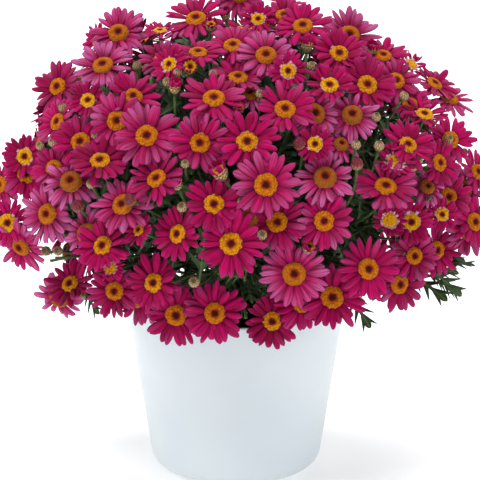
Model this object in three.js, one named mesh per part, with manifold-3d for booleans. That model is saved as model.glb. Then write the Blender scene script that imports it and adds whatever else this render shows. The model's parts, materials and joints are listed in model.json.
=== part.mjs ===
// A marguerite daisy in full flower, grown into a round mound in a plain white tapered pot.
// Millimetres, +Z up. The origin is the middle of the pot's flat base, the viewer's side is -Y.
import * as THREE from "three";
import { mergeVertices } from "three/addons/utils/BufferGeometryUtils.js";
import Module from "manifold-3d";

const wasm = await Module();
wasm.setup();

// Pot and soil
const POT_RIM_RADIUS = 85;
const POT_BASE_RADIUS = 65;
const POT_HEIGHT = 132;
const POT_WALL = 2.4;
const POT_CORNER = 14;
const POT_SIDES = 48;
const DRAIN_HOLES = 5;
const DRAIN_HOLE_RADIUS = 4.5;
const DRAIN_CIRCLE_RADIUS = 34;
const SOIL_EDGE_HEIGHT = 119;
const SOIL_MIDDLE_HEIGHT = 123;
const SOCKET_DEPTH = 28;
const GAP = 0.3;

// Woody stem, branches and stalks
const STEM_RADIUS = 7;
const STEM_TOP = 156;
const SIDE_BRANCHES = 7;
const BRANCH_RADIUS = 2.4;
const LEADER_RADIUS = 2.6;
const STALK_RADIUS = 1.2;
const LOW_BRANCH_START = 137;
const HIGH_BRANCH_START = 147;
const FORK = { radius: 62, height: 196 };
const ELBOW_RADIUS = 37;
const SHOULDER_RADIUS = 53;
const FIRST_STALK = 0.7;
const LAST_STALK = 0.97;
const STALK_PULL = 0.35;
const LEADER_FORK_HEIGHT = 236;
const LEADER_REACH = 78;

// The mound: the middles of the flower heads lie on an egg-shaped dome
const MOUND_RADIUS = 172;
const MOUND_MIDDLE_HEIGHT = 235;
const MOUND_RISE = 126;
const MOUND_DROP = 125;

// Flower heads. HEAD_FORM gives the section of a head as shares of its radius: petals from the
// disc's edge to their tips, a domed disc above them and the calyx below.
const HEAD_PETALS = 10;
const HEAD_FORM = {
  tipHeight: -0.05,
  discRadius: 0.35,
  discEdgeHeight: 0.05,
  discShoulderRadius: 0.21,
  discShoulderHeight: 0.17,
  discTopHeight: 0.19,
  calyxRadius: 0.3,
  calyxHeight: -0.08,
  footHeight: -0.26,
  notch: 0.34,
};
const FOOT_RADIUS = 1.6;

// Heads round the back, in rings: height is a share of the dome's rise or drop. None hangs down:
// each faces up by at least BACK_LEAST_RISE.
const BACK_HEAD_SIZE = 44;
const BACK_LEAST_RISE = 0.1;
const BACK_RINGS = [
  { height: 0.96, count: 1 },
  { height: 0.72, count: 2 },
  { height: 0.36, count: 3 },
  { height: -0.05, count: 3 },
  { height: -0.5, count: 3 },
];

// Leaves and buds
const LEAF_THICKNESS = 0.8;
const LEAF_LENGTH = 60;
const LEAF_STALK_LENGTH = 16;
const LEAF_HALF_WIDTH = 13;
const LEAF_LOBE_PAIRS = 3;
const LEAF_LOBE_WIDTH = 3.5;
const LEAF_MIDRIB = 1.4;
const LEAF_NARROWING = 3;
const LEAF_DROOP = 6;
const LEAF_PLACE = 0.5;
const BUD_RADIUS = 3.6;

const BRANCH_GREEN = { color: 0x4f6b38, roughness: 0.7, metalness: 0 };
const LEAF_GREEN = { color: 0x35573a, roughness: 0.65, metalness: 0 };
const PETAL_CRIMSON = { color: 0xb8105c, roughness: 0.6, metalness: 0 };

// How the reference picture sees the plant: the view's distance, tilt, aim and scale
const VIEW = { distance: 1400, tilt: 13, aimHeight: 179, focal: 1810, column: 236, row: 240 };

// Heads on the viewer's side. column and row are where the disc's middle is seen in the
// 480-pixel frame, size is the head's diameter in mm, across and up are how far it leans from
// facing the viewer, and lift moves it out of the dome or, below zero, back into it.
const FRONT_HEADS = [
  { column: 231, row: 243.5, size: 48, across: 0, up: 0, lift: 0 },
  { column: 266, row: 185, size: 48, across: 0, up: 0.04, lift: 4 },
  { column: 294, row: 274, size: 48, across: 0.05, up: 0.05, lift: 4 },
  { column: 368, row: 269, size: 45, across: 0.25, up: 0.05, lift: 0 },
  { column: 215, row: 313, size: 46, across: 0, up: -0.05, lift: 3 },
  { column: 272, row: 321, size: 42, across: 0.05, up: -0.15, lift: -5 },
  { column: 154, row: 283, size: 42, across: -0.35, up: 0.1, lift: 0 },
  { column: 103, row: 246, size: 43, across: -0.35, up: 0.35, lift: 2 },
  { column: 70.5, row: 284, size: 42, across: -0.45, up: 0.45, lift: 0 },
  { column: 48, row: 214, size: 44, across: -0.45, up: 0.05, lift: 0 },
  { column: 123, row: 205, size: 44, across: -0.3, up: 0.35, lift: 0 },
  { column: 100, row: 161, size: 43, across: -0.1, up: 0.6, lift: 0 },
  { column: 147, row: 136, size: 46, across: -0.05, up: 0.25, lift: 0 },
  { column: 247, row: 142, size: 45, across: 0, up: 0.32, lift: 0 },
  { column: 214, row: 99, size: 46, across: 0, up: 0.62, lift: 0 },
  { column: 285, row: 110, size: 44, across: 0.05, up: 0.5, lift: 0 },
  { column: 103, row: 66, size: 45, across: -0.15, up: 0.6, lift: 0 },
  { column: 196, row: 19, size: 45, across: -0.1, up: 0.65, lift: 0 },
  { column: 266, row: 56, size: 44, across: 0, up: 0.5, lift: 0 },
  { column: 339, row: 54, size: 42, across: 0.15, up: 0.5, lift: 0 },
  { column: 367, row: 85, size: 44, across: 0.2, up: 0.35, lift: 0 },
  { column: 407.5, row: 145, size: 41, across: 0.3, up: 0.5, lift: 0 },
  { column: 385.5, row: 187, size: 46, across: 0.1, up: 0.6, lift: 0 },
  { column: 474, row: 222, size: 42, across: 0.5, up: 0.1, lift: 0 },
  { column: 436, row: 250, size: 42, across: 0.4, up: -0.1, lift: 0 },
  { column: 8, row: 223, size: 38, across: -0.15, up: 0.05, lift: 0 },
];

// Buds on the viewer's side, placed as the heads are
const FRONT_BUDS = [
  { column: 262, row: 235, across: 0, up: 0.3, lift: 0 },
  { column: 182, row: 207, across: -0.1, up: 0.5, lift: 0 },
  { column: 404, row: 96, across: 0.3, up: 0.6, lift: 0 },
  { column: 104, row: 108, across: -0.3, up: 0.5, lift: 0 },
];

const group = new THREE.Group();

function addMesh(name, geometry, look) {
  const mesh = new THREE.Mesh(geometry, new THREE.MeshStandardMaterial(look));
  mesh.name = name;
  group.add(mesh);
  return mesh;
}

function numbered(stem, index) {
  return `${stem}_${String(index + 1).padStart(2, "0")}`;
}

// Solid joining and cutting
function toSolid(geometry) {
  const bare = geometry.clone();
  bare.deleteAttribute("normal");
  bare.deleteAttribute("uv");
  const merged = mergeVertices(bare, 1e-4);
  const vertProperties = new Float32Array(merged.attributes.position.array);
  const triVerts = new Uint32Array(merged.index.array);
  return new wasm.Manifold(new wasm.Mesh({ numProp: 3, vertProperties, triVerts }));
}

function toGeometry(solid) {
  const mesh = solid.getMesh();
  const geometry = new THREE.BufferGeometry();
  geometry.setAttribute("position", new THREE.BufferAttribute(mesh.vertProperties, mesh.numProp));
  geometry.setIndex(new THREE.BufferAttribute(mesh.triVerts, 1));
  geometry.computeVertexNormals();
  return geometry;
}

// A form turned about the Z axis from a profile of [radius, height] points
function turned(profile, sides, turn = 0) {
  const points = profile.map(([radius, height]) => new THREE.Vector2(radius, height));
  return new THREE.LatheGeometry(points, sides, turn).rotateX(Math.PI / 2);
}

// A round tube of even thickness along a curve
function tube(curve, radius, sides, steps) {
  const section = new THREE.Shape();
  section.moveTo(radius, 0);
  for (let i = 1; i < sides; i += 1) {
    const angle = (i / sides) * 2 * Math.PI;
    section.lineTo(radius * Math.cos(angle), radius * Math.sin(angle));
  }
  return new THREE.ExtrudeGeometry(section, { steps, extrudePath: curve, curveSegments: 1 });
}

// Points of the pot's rounded bottom corner, set in from the outer face by inset
function cornerArc(inset) {
  const taper = (POT_RIM_RADIUS - POT_BASE_RADIUS) / POT_HEIGHT;
  const lean = Math.atan(taper);
  const radius = POT_CORNER - inset;
  const centreHeight = POT_CORNER;
  const centreRadius = POT_BASE_RADIUS + taper * centreHeight - POT_CORNER / Math.cos(lean);
  const steps = 4;
  const points = [];
  for (let i = 0; i <= steps; i += 1) {
    const angle = -Math.PI / 2 + (i / steps) * (Math.PI / 2 - lean);
    points.push([centreRadius + radius * Math.cos(angle), centreHeight + radius * Math.sin(angle)]);
  }
  return points;
}

// Radius of a wall face at a height, set in from the outer face by inset
function wallRadius(height, inset) {
  const taper = (POT_RIM_RADIUS - POT_BASE_RADIUS) / POT_HEIGHT;
  return POT_BASE_RADIUS + taper * height - inset / Math.cos(Math.atan(taper));
}

function makePot() {
  const lip = 0.7;
  const profile = [
    [0, 0],
    ...cornerArc(0),
    [wallRadius(POT_HEIGHT - lip, 0), POT_HEIGHT - lip],
    [wallRadius(POT_HEIGHT, lip), POT_HEIGHT],
    [wallRadius(POT_HEIGHT, POT_WALL - lip), POT_HEIGHT],
    [wallRadius(POT_HEIGHT - lip, POT_WALL), POT_HEIGHT - lip],
    ...cornerArc(POT_WALL).reverse(),
    [0, POT_WALL],
  ];
  let pot = toSolid(turned(profile, POT_SIDES));
  for (let i = 0; i < DRAIN_HOLES; i += 1) {
    const angle = (i / DRAIN_HOLES) * 2 * Math.PI;
    const drill = new THREE.CylinderGeometry(DRAIN_HOLE_RADIUS, DRAIN_HOLE_RADIUS, 4 * POT_WALL, 12);
    drill.rotateX(Math.PI / 2);
    drill.translate(DRAIN_CIRCLE_RADIUS * Math.cos(angle), DRAIN_CIRCLE_RADIUS * Math.sin(angle), 0);
    pot = pot.subtract(toSolid(drill));
  }
  addMesh("pot", toGeometry(pot), { color: 0xd8e2eb, roughness: 0.45, metalness: 0 });
}

function makeSoil() {
  const inset = POT_WALL + GAP;
  const socketRadius = STEM_RADIUS + GAP;
  const profile = [
    [0, inset],
    ...cornerArc(inset),
    [wallRadius(SOIL_EDGE_HEIGHT, inset), SOIL_EDGE_HEIGHT],
    [0.55 * POT_RIM_RADIUS, 0.5 * (SOIL_EDGE_HEIGHT + SOIL_MIDDLE_HEIGHT)],
    [socketRadius, SOIL_MIDDLE_HEIGHT],
    [socketRadius, SOIL_MIDDLE_HEIGHT - SOCKET_DEPTH],
    [0, SOIL_MIDDLE_HEIGHT - SOCKET_DEPTH],
  ];
  addMesh("potting_soil", turned(profile, POT_SIDES), { color: 0x2c221a, roughness: 0.95, metalness: 0 });
}

function makeWoodyStem() {
  const foot = SOIL_MIDDLE_HEIGHT - SOCKET_DEPTH + GAP;
  const profile = [
    [0, foot],
    [STEM_RADIUS, foot],
    [STEM_RADIUS, STEM_TOP - 2],
    [STEM_RADIUS - 2, STEM_TOP],
    [0, STEM_TOP],
  ];
  const sides = 2 * SIDE_BRANCHES;
  addMesh("woody_stem", turned(profile, sides), { color: 0x6b5a3c, roughness: 0.85, metalness: 0 });
}

// The mound's surface and the viewer's lines of sight
const tilt = THREE.MathUtils.degToRad(VIEW.tilt);
const viewForward = new THREE.Vector3(0, Math.cos(tilt), -Math.sin(tilt));
const viewUp = new THREE.Vector3(0, Math.sin(tilt), Math.cos(tilt));
const viewRight = new THREE.Vector3(1, 0, 0);
const eye = new THREE.Vector3(0, 0, VIEW.aimHeight).addScaledVector(viewForward, -VIEW.distance);

// Outward direction of the dome at a place, square to its surface
function domeNormal(place) {
  const rise = place.z > MOUND_MIDDLE_HEIGHT ? MOUND_RISE : MOUND_DROP;
  return new THREE.Vector3(
    place.x / MOUND_RADIUS ** 2,
    place.y / MOUND_RADIUS ** 2,
    (place.z - MOUND_MIDDLE_HEIGHT) / rise ** 2,
  ).normalize();
}

// How far out of the dome a place is: 1 lies on it
function domeLevel(place) {
  const rise = place.z > MOUND_MIDDLE_HEIGHT ? MOUND_RISE : MOUND_DROP;
  return Math.hypot(place.x / MOUND_RADIUS, place.y / MOUND_RADIUS, (place.z - MOUND_MIDDLE_HEIGHT) / rise);
}

// The place on the dome that is seen at a column and row, or the nearest one past its edge
function seenPlace({ column, row, lift }) {
  const ray = viewForward.clone()
    .addScaledVector(viewRight, (column - VIEW.column) / VIEW.focal)
    .addScaledVector(viewUp, -(row - VIEW.row) / VIEW.focal)
    .normalize();
  const step = 1;
  const reach = 1.3 * MOUND_RADIUS;
  let best = null;
  let bestLevel = Infinity;
  for (let along = VIEW.distance - reach; along < VIEW.distance + reach; along += step) {
    const place = eye.clone().addScaledVector(ray, along);
    const level = domeLevel(place);
    if (level < bestLevel) {
      best = place;
      bestLevel = level;
    }
    if (level <= 1) break;
  }
  return best.addScaledVector(ray, -lift);
}

// The direction a head faces, from how far it leans across and up
function facing({ across, up }) {
  const towards = Math.sqrt(1 - across ** 2 - up ** 2);
  return new THREE.Vector3()
    .addScaledVector(viewRight, across)
    .addScaledVector(viewUp, up)
    .addScaledVector(viewForward, -towards)
    .normalize();
}

function frontPlaces(rows) {
  return rows.map((row) => ({ place: seenPlace(row), normal: facing(row), size: row.size }));
}

// Heads round the back, evenly along each ring and set a little off it in turn
function backPlaces() {
  const wobble = THREE.MathUtils.degToRad(7);
  const places = [];
  for (const { height, count } of BACK_RINGS) {
    const reach = Math.sqrt(1 - height ** 2);
    const rise = height > 0 ? MOUND_RISE : MOUND_DROP;
    for (let i = 0; i < count; i += 1) {
      const turn = ((i + 0.5) / count) * Math.PI + wobble * Math.sin(5 * places.length);
      const place = polar(MOUND_RADIUS * reach, turn, MOUND_MIDDLE_HEIGHT + rise * height);
      const normal = domeNormal(place);
      normal.z = Math.max(normal.z, BACK_LEAST_RISE);
      places.push({ place, normal: normal.normalize(), size: BACK_HEAD_SIZE });
    }
  }
  return places;
}

// One flower head: a turned form with a domed disc, whose rim is drawn in between the petals,
// and a small calyx with a flat foot underneath. Its own Z axis is the way it faces.
function headGeometry(size) {
  const radius = size / 2;
  const profile = [
    [0, HEAD_FORM.footHeight * radius],
    [FOOT_RADIUS, HEAD_FORM.footHeight * radius],
    [HEAD_FORM.calyxRadius * radius, HEAD_FORM.calyxHeight * radius],
    [radius, HEAD_FORM.tipHeight * radius],
    [HEAD_FORM.discRadius * radius, HEAD_FORM.discEdgeHeight * radius],
    [HEAD_FORM.discShoulderRadius * radius, HEAD_FORM.discShoulderHeight * radius],
    [0, HEAD_FORM.discTopHeight * radius],
  ];
  const geometry = turned(profile, 2 * HEAD_PETALS);
  const position = geometry.attributes.position;
  const rimStart = 0.99 * radius;
  for (let i = 0; i < position.count; i += 1) {
    if (Math.hypot(position.getX(i), position.getY(i)) > rimStart) {
      const angle = Math.atan2(position.getY(i), position.getX(i));
      const scale = 1 - HEAD_FORM.notch * 0.5 * (1 - Math.cos(HEAD_PETALS * angle));
      position.setX(i, position.getX(i) * scale);
      position.setY(i, position.getY(i) * scale);
    }
  }
  return geometry;
}

// Where the stalk ends, just under the flat foot of a head's calyx
function calyxFoot(head) {
  const depth = -HEAD_FORM.footHeight * 0.5 * head.size + GAP;
  return head.place.clone().addScaledVector(head.normal, -depth);
}

// Puts a mesh at a place with its own Z axis along the way it faces
function turnTo(mesh, { place, normal }) {
  mesh.quaternion.setFromUnitVectors(new THREE.Vector3(0, 0, 1), normal);
  mesh.position.copy(place);
}

function makeHead(head, index) {
  turnTo(addMesh(numbered("flower_head", index), headGeometry(head.size), PETAL_CRIMSON), head);
}

// One closed bud, round with a flat foot on its stalk
function makeBud(bud, index) {
  const profile = [
    [0, -BUD_RADIUS],
    [FOOT_RADIUS, -BUD_RADIUS],
    [BUD_RADIUS, -0.2 * BUD_RADIUS],
    [0.8 * BUD_RADIUS, 0.6 * BUD_RADIUS],
    [0, BUD_RADIUS],
  ];
  const look = { color: 0xb9b27a, roughness: 0.6, metalness: 0 };
  turnTo(addMesh(numbered("bud", index), turned(profile, 8), look), bud);
}

// Side branch number index leaves the woody stem at this azimuth
function branchAzimuth(index) {
  return ((index + 0.25) / SIDE_BRANCHES) * 2 * Math.PI;
}

// A point at a distance out from the stem's axis, an azimuth and a height
function polar(radius, azimuth, height) {
  return new THREE.Vector3(radius * Math.cos(azimuth), radius * Math.sin(azimuth), height);
}

// A side branch runs out from the woody stem and turns up to its fork
function branchCurve(index) {
  const azimuth = branchAzimuth(index);
  const start = index % 2 ? HIGH_BRANCH_START : LOW_BRANCH_START;
  const stemFace = STEM_RADIUS * Math.cos(Math.PI / (2 * SIDE_BRANCHES)) + GAP;
  return new THREE.CubicBezierCurve3(
    polar(stemFace, azimuth, start),
    polar(ELBOW_RADIUS, azimuth, start),
    polar(SHOULDER_RADIUS, azimuth, 0.5 * (start + FORK.height)),
    polar(FORK.radius, azimuth, FORK.height),
  );
}

// The flat outline of a pinnately lobed leaf, from the foot of its stalk along +X
function leafShape() {
  const pitch = (LEAF_LENGTH - LEAF_STALK_LENGTH) / (LEAF_LOBE_PAIRS + 1);
  const upper = [[0, LEAF_MIDRIB], [LEAF_STALK_LENGTH, LEAF_MIDRIB]];
  for (let i = 1; i <= LEAF_LOBE_PAIRS; i += 1) {
    const end = LEAF_STALK_LENGTH + i * pitch;
    const reach = LEAF_HALF_WIDTH - LEAF_NARROWING / i;
    upper.push([end - LEAF_LOBE_WIDTH, reach], [end, reach], [end, LEAF_MIDRIB]);
  }
  const outline = [...upper, [LEAF_LENGTH, 0], ...upper.map(([x, y]) => [x, -y]).reverse()];
  return new THREE.Shape(outline.map(([x, y]) => new THREE.Vector2(x, y)));
}

// One leaf per side branch: it leaves the branch's outer side and reaches out over the pot's rim
function makeLeaf(index) {
  const curve = branchCurve(index);
  const droop = THREE.MathUtils.degToRad(LEAF_DROOP);
  const azimuth = branchAzimuth(index);
  const out = polar(Math.cos(droop), azimuth, -Math.sin(droop));
  const side = new THREE.Vector3(-Math.sin(azimuth), Math.cos(azimuth), 0);
  const face = out.clone().cross(side);
  const tangent = curve.getTangent(LEAF_PLACE);
  const clearance = (BRANCH_RADIUS + 2 * GAP) / out.clone().cross(tangent).length();
  const geometry = new THREE.ExtrudeGeometry(leafShape(), { depth: LEAF_THICKNESS, bevelEnabled: false });
  geometry.translate(clearance, 0, -0.5 * LEAF_THICKNESS);
  const leaf = addMesh(numbered("leaf", index), geometry, LEAF_GREEN);
  leaf.quaternion.setFromRotationMatrix(new THREE.Matrix4().makeBasis(out, side, face));
  leaf.position.copy(curve.getPoint(LEAF_PLACE));
}

// A stalk from a point inside a branch to the foot of a head or bud, which it meets squarely
function stalk(origin, foot, normal) {
  const length = origin.distanceTo(foot);
  const outward = foot.clone().sub(origin).normalize();
  const curve = new THREE.CubicBezierCurve3(
    origin,
    origin.clone().addScaledVector(outward, STALK_PULL * length),
    foot.clone().addScaledVector(normal, -STALK_PULL * length),
    foot,
  );
  return tube(curve, STALK_RADIUS, 5, 5);
}

// Which branch carries a place: the leader for the top of the mound, else the nearest azimuth
function carrier(place) {
  if (Math.hypot(place.x, place.y) < LEADER_REACH && place.z > MOUND_MIDDLE_HEIGHT) return SIDE_BRANCHES;
  const turn = Math.atan2(place.y, place.x) / (2 * Math.PI);
  return ((Math.round(turn * SIDE_BRANCHES - 0.25) % SIDE_BRANCHES) + SIDE_BRANCHES) % SIDE_BRANCHES;
}

// The middle leader, which stands on the woody stem and carries the top of the mound
function leaderCurve() {
  return new THREE.LineCurve3(polar(0, 0, STEM_TOP + GAP), polar(0, 0, LEADER_FORK_HEIGHT));
}

// A branch with its stalks, joined into one solid; heads high up are carried further along it
function makeBranch(index, loads) {
  const isLeader = index === SIDE_BRANCHES;
  const curve = isLeader ? leaderCurve() : branchCurve(index);
  let branch = toSolid(tube(curve, isLeader ? LEADER_RADIUS : BRANCH_RADIUS, 8, isLeader ? 1 : 8));
  for (const load of loads) {
    const rise = THREE.MathUtils.clamp((load.foot.z - FORK.height) / MOUND_DROP, -1, 1);
    const along = THREE.MathUtils.mapLinear(rise, -1, 1, FIRST_STALK, LAST_STALK);
    branch = branch.add(toSolid(stalk(curve.getPoint(along), load.foot, load.normal)));
  }
  addMesh(numbered("branch", index), toGeometry(branch), BRANCH_GREEN);
}

const heads = [...frontPlaces(FRONT_HEADS), ...backPlaces()];
const buds = frontPlaces(FRONT_BUDS);
const loads = [
  ...heads.map((head) => ({ foot: calyxFoot(head), normal: head.normal })),
  ...buds.map((bud) => ({
    foot: bud.place.clone().addScaledVector(bud.normal, -BUD_RADIUS - GAP),
    normal: bud.normal,
  })),
];

makePot();
makeSoil();
makeWoodyStem();
for (let index = 0; index <= SIDE_BRANCHES; index += 1) {
  makeBranch(index, loads.filter((load) => carrier(load.foot) === index));
}
for (let index = 0; index < SIDE_BRANCHES; index += 1) {
  makeLeaf(index);
}
heads.forEach(makeHead);
buds.forEach(makeBud);

export default group;
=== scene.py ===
"""Looks of a marguerite daisy in full flower, grown as a round mound in a plain white pot.

Sizes are in millimetres in the object's own frame (+Z up, the viewer's side -Y, the origin in the
middle of the pot's base) and become metres where a mesh is made. Every grown shape is a loft: rings
of points carried from a first point to a last one, so that each is a closed surface.
"""

import json
import logging
from dataclasses import dataclass, field, replace
from enum import Enum

import bpy
import numpy as np
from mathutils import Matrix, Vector

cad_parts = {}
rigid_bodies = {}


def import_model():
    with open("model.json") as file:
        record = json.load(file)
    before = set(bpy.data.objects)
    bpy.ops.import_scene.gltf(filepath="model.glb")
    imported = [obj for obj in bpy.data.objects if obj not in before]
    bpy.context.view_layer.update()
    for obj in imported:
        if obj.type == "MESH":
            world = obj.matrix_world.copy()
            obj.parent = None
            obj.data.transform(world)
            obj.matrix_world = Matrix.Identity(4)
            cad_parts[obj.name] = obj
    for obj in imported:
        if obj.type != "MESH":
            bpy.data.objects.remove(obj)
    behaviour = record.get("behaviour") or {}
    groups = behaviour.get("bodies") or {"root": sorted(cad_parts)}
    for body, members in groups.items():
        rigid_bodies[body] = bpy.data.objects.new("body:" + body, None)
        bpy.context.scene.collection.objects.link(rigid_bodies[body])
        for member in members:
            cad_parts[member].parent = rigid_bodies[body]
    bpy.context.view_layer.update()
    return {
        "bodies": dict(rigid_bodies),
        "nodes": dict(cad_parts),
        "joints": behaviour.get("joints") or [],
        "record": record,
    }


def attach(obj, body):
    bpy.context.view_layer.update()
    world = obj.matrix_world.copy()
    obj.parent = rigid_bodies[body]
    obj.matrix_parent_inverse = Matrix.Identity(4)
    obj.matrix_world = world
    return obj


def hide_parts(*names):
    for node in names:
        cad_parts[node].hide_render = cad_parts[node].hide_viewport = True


METRES = 0.001
UP = np.array([0.0, 0.0, 1.0])
TOWARDS_LIGHT = np.array([0.0, -0.85, 0.55])
SEED = 20
GOLDEN_ANGLE = np.pi * (3.0 - np.sqrt(5.0))
# The mark across at the middle line of a petal or leaf, which is 0 and 1 at its edges.
MIDRIB = 0.5
# From this share of X on, a direction counts as lying along X.
SIDEWAYS = 0.8
# Where a value's passage starts and ends, and what it gives there.
Passage = tuple[float, ...]
Array = np.ndarray
Thing = bpy.types.Object
Material = bpy.types.Material
Tree = bpy.types.NodeTree
Socket = bpy.types.NodeSocket
# The shader's inputs and the height of its relief.
Painted = tuple[dict[str, object], Socket]
log = logging.getLogger("daisy")


class Age(Enum):
    """How far a flower head has come, from a cup of petals still curled in to a faded head."""

    OPENING = "opening"
    QUILLED = "quilled"
    YOUNG = "young"
    FRESH = "fresh"
    PRIME = "prime"
    FADED = "faded"
    OLD = "old"


@dataclass(frozen=True)
class HeadForm:
    """Shape of a head at one age.

    lift is the angle in degrees at which the petals leave the disc, droop how far they have bent
    back at their tips, scatter the spread of both. length is a share of the head's radius, and
    width that of a petal in mm on a head 46 mm across. disc and crown are the disc's radius as a
    share of the head's and its height as a share of its own radius. cup is the calyx's depth as a
    share of the head's radius. life is below 0 while the petals are pale at their feet, 0 when
    they have just opened and 1 when they have faded.
    """

    petals: int
    lift: float
    droop: float
    scatter: float
    length: float
    width: float
    disc: float
    crown: float
    cup: float
    life: float


# petals, lift, droop, scatter, length, width, disc, crown, cup, life
HEAD_FORMS = {
    Age.OPENING: HeadForm(13, 78, -22, 6, 1.40, 8.5, 0.62, 0.30, 1.05, 0.05),
    Age.QUILLED: HeadForm(22, 24, 2, 11, 1.00, 4.4, 0.38, 0.30, 0.30, -0.30),
    Age.YOUNG: HeadForm(20, 18, 8, 7, 1.00, 5.4, 0.36, 0.26, 0.26, 0.00),
    Age.FRESH: HeadForm(21, 15, 13, 9, 1.00, 5.7, 0.325, 0.30, 0.26, 0.22),
    Age.PRIME: HeadForm(21, 13, 17, 9, 1.00, 5.8, 0.33, 0.34, 0.26, 0.46),
    Age.FADED: HeadForm(22, 9, 24, 10, 1.00, 5.6, 0.335, 0.42, 0.26, 0.78),
    Age.OLD: HeadForm(19, -8, 34, 11, 1.00, 5.3, 0.36, 0.58, 0.28, 1.00),
}
REFERENCE_SIZE = 46.0


@dataclass(frozen=True)
class Head:
    """One flower head or bud: where its middle is, the way it faces, its diameter and its age."""

    place: Array
    normal: Array
    size: float
    age: Age = Age.PRIME


@dataclass(frozen=True)
class Seen:
    """A head or bud as the viewer sees it, in a picture of 480 by 480 pixels.

    column and row are the middle of its disc, size its diameter in mm, across and up how far it
    leans from facing the viewer, and sink how many mm it lies behind the mound's outer surface.
    """

    column: float
    row: float
    size: float
    across: float = 0.0
    up: float = 0.0
    sink: float = 0.0
    age: Age = Age.PRIME


def unit(vectors: Array) -> Array:
    """Vectors scaled to length one along their last axis."""
    return vectors / np.linalg.norm(vectors, axis=-1, keepdims=True)


def ease(low: float, high: float, values: Array) -> Array:
    """A smooth step from 0 at low to 1 at high."""
    share = np.clip((values - low) / (high - low), 0.0, 1.0)
    return share * share * (3.0 - 2.0 * share)


@dataclass(frozen=True)
class Mound:
    """The dome on which the heads lie: half an egg above its middle height and half below."""

    radius: float = 172.0
    middle: float = 235.0
    rise: float = 126.0
    drop: float = 125.0

    def scales(self, places: Array) -> Array:
        """The dome's three half-lengths at each place."""
        tall = np.where(places[..., 2] > self.middle, self.rise, self.drop)
        wide = np.full_like(tall, self.radius)
        return np.stack([wide, wide, tall], -1)

    def level(self, places: Array) -> Array:
        """How far out each place is: 1 lies on the dome."""
        return np.linalg.norm((places - self.middle * UP) / self.scales(places), axis=-1)

    def outward(self, places: Array) -> Array:
        """Directions square to the dome at each place."""
        return unit((places - self.middle * UP) / self.scales(places) ** 2)


@dataclass(frozen=True)
class View:
    """The viewer's place: distance and aim height in mm, tilt in degrees, scale in pixels.

    A line of sight is followed in steps of step mm, from reach times the mound's radius before its
    middle to as far behind it. far is the camera's clip distance in metres.
    """

    distance: float = 1400.0
    tilt: float = 13.0
    aim_height: float = 179.0
    focal: float = 1810.0
    column: float = 236.0
    row: float = 240.0
    picture: float = 480.0
    sensor: float = 36.0
    far: float = 20.0
    reach: float = 1.3
    step: float = 1.0

    def axes(self) -> tuple[Array, Array, Array]:
        """Unit vectors to the viewer's right, up and forward."""
        tilt = np.radians(self.tilt)
        right = np.array([1.0, 0.0, 0.0])
        up = np.array([0.0, np.sin(tilt), np.cos(tilt)])
        forward = np.array([0.0, np.cos(tilt), -np.sin(tilt)])
        return right, up, forward

    def eye(self) -> Array:
        """The viewer's place."""
        return self.aim_height * UP - self.distance * self.axes()[2]

    def heads(self, seen: tuple[Seen, ...], mound: Mound) -> list[Head]:
        """Places heads where the viewer's line of sight first meets the mound.

        A line that misses the mound gives the place where it passes nearest to it.

        Args:
            seen: Heads in picture coordinates.
            mound: The dome that they lie on.

        Returns:
            The heads in the object's frame.
        """
        right, up, forward = self.axes()
        columns = np.array([s.column for s in seen])
        rows = np.array([s.row for s in seen])
        rays = unit(
            forward
            + right * ((columns - self.column) / self.focal)[:, None]
            - up * ((rows - self.row) / self.focal)[:, None]
        )
        reach = self.reach * mound.radius
        along = np.arange(self.distance - reach, self.distance + reach, self.step)
        places = self.eye() + rays[:, None, :] * along[:, None]
        levels = mound.level(places)
        inside = levels <= 1.0
        pick = np.where(inside.any(1), inside.argmax(1), levels.argmin(1))
        found = places[np.arange(len(seen)), pick]
        heads = []
        for s, place, ray in zip(seen, found, rays):
            towards = np.sqrt(max(0.0, 1.0 - s.across**2 - s.up**2))
            normal = unit(right * s.across + up * s.up - forward * towards)
            heads.append(Head(place + ray * s.sink, normal, s.size, s.age))
        return heads

    def make_camera(self) -> None:
        """Adds the camera at the viewer's place, with the picture's framing."""
        data = bpy.data.cameras.new("camera")
        data.sensor_width = self.sensor
        data.lens = self.sensor * self.focal / self.picture
        data.shift_x = (self.picture / 2 - self.column) / self.picture
        data.shift_y = (self.row - self.picture / 2) / self.picture
        data.clip_end = self.far
        camera = bpy.data.objects.new("camera", data)
        camera.location = self.eye() * METRES
        camera.rotation_euler = (np.radians(90.0 - self.tilt), 0.0, 0.0)
        bpy.context.scene.collection.objects.link(camera)
        bpy.context.scene.camera = camera


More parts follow.
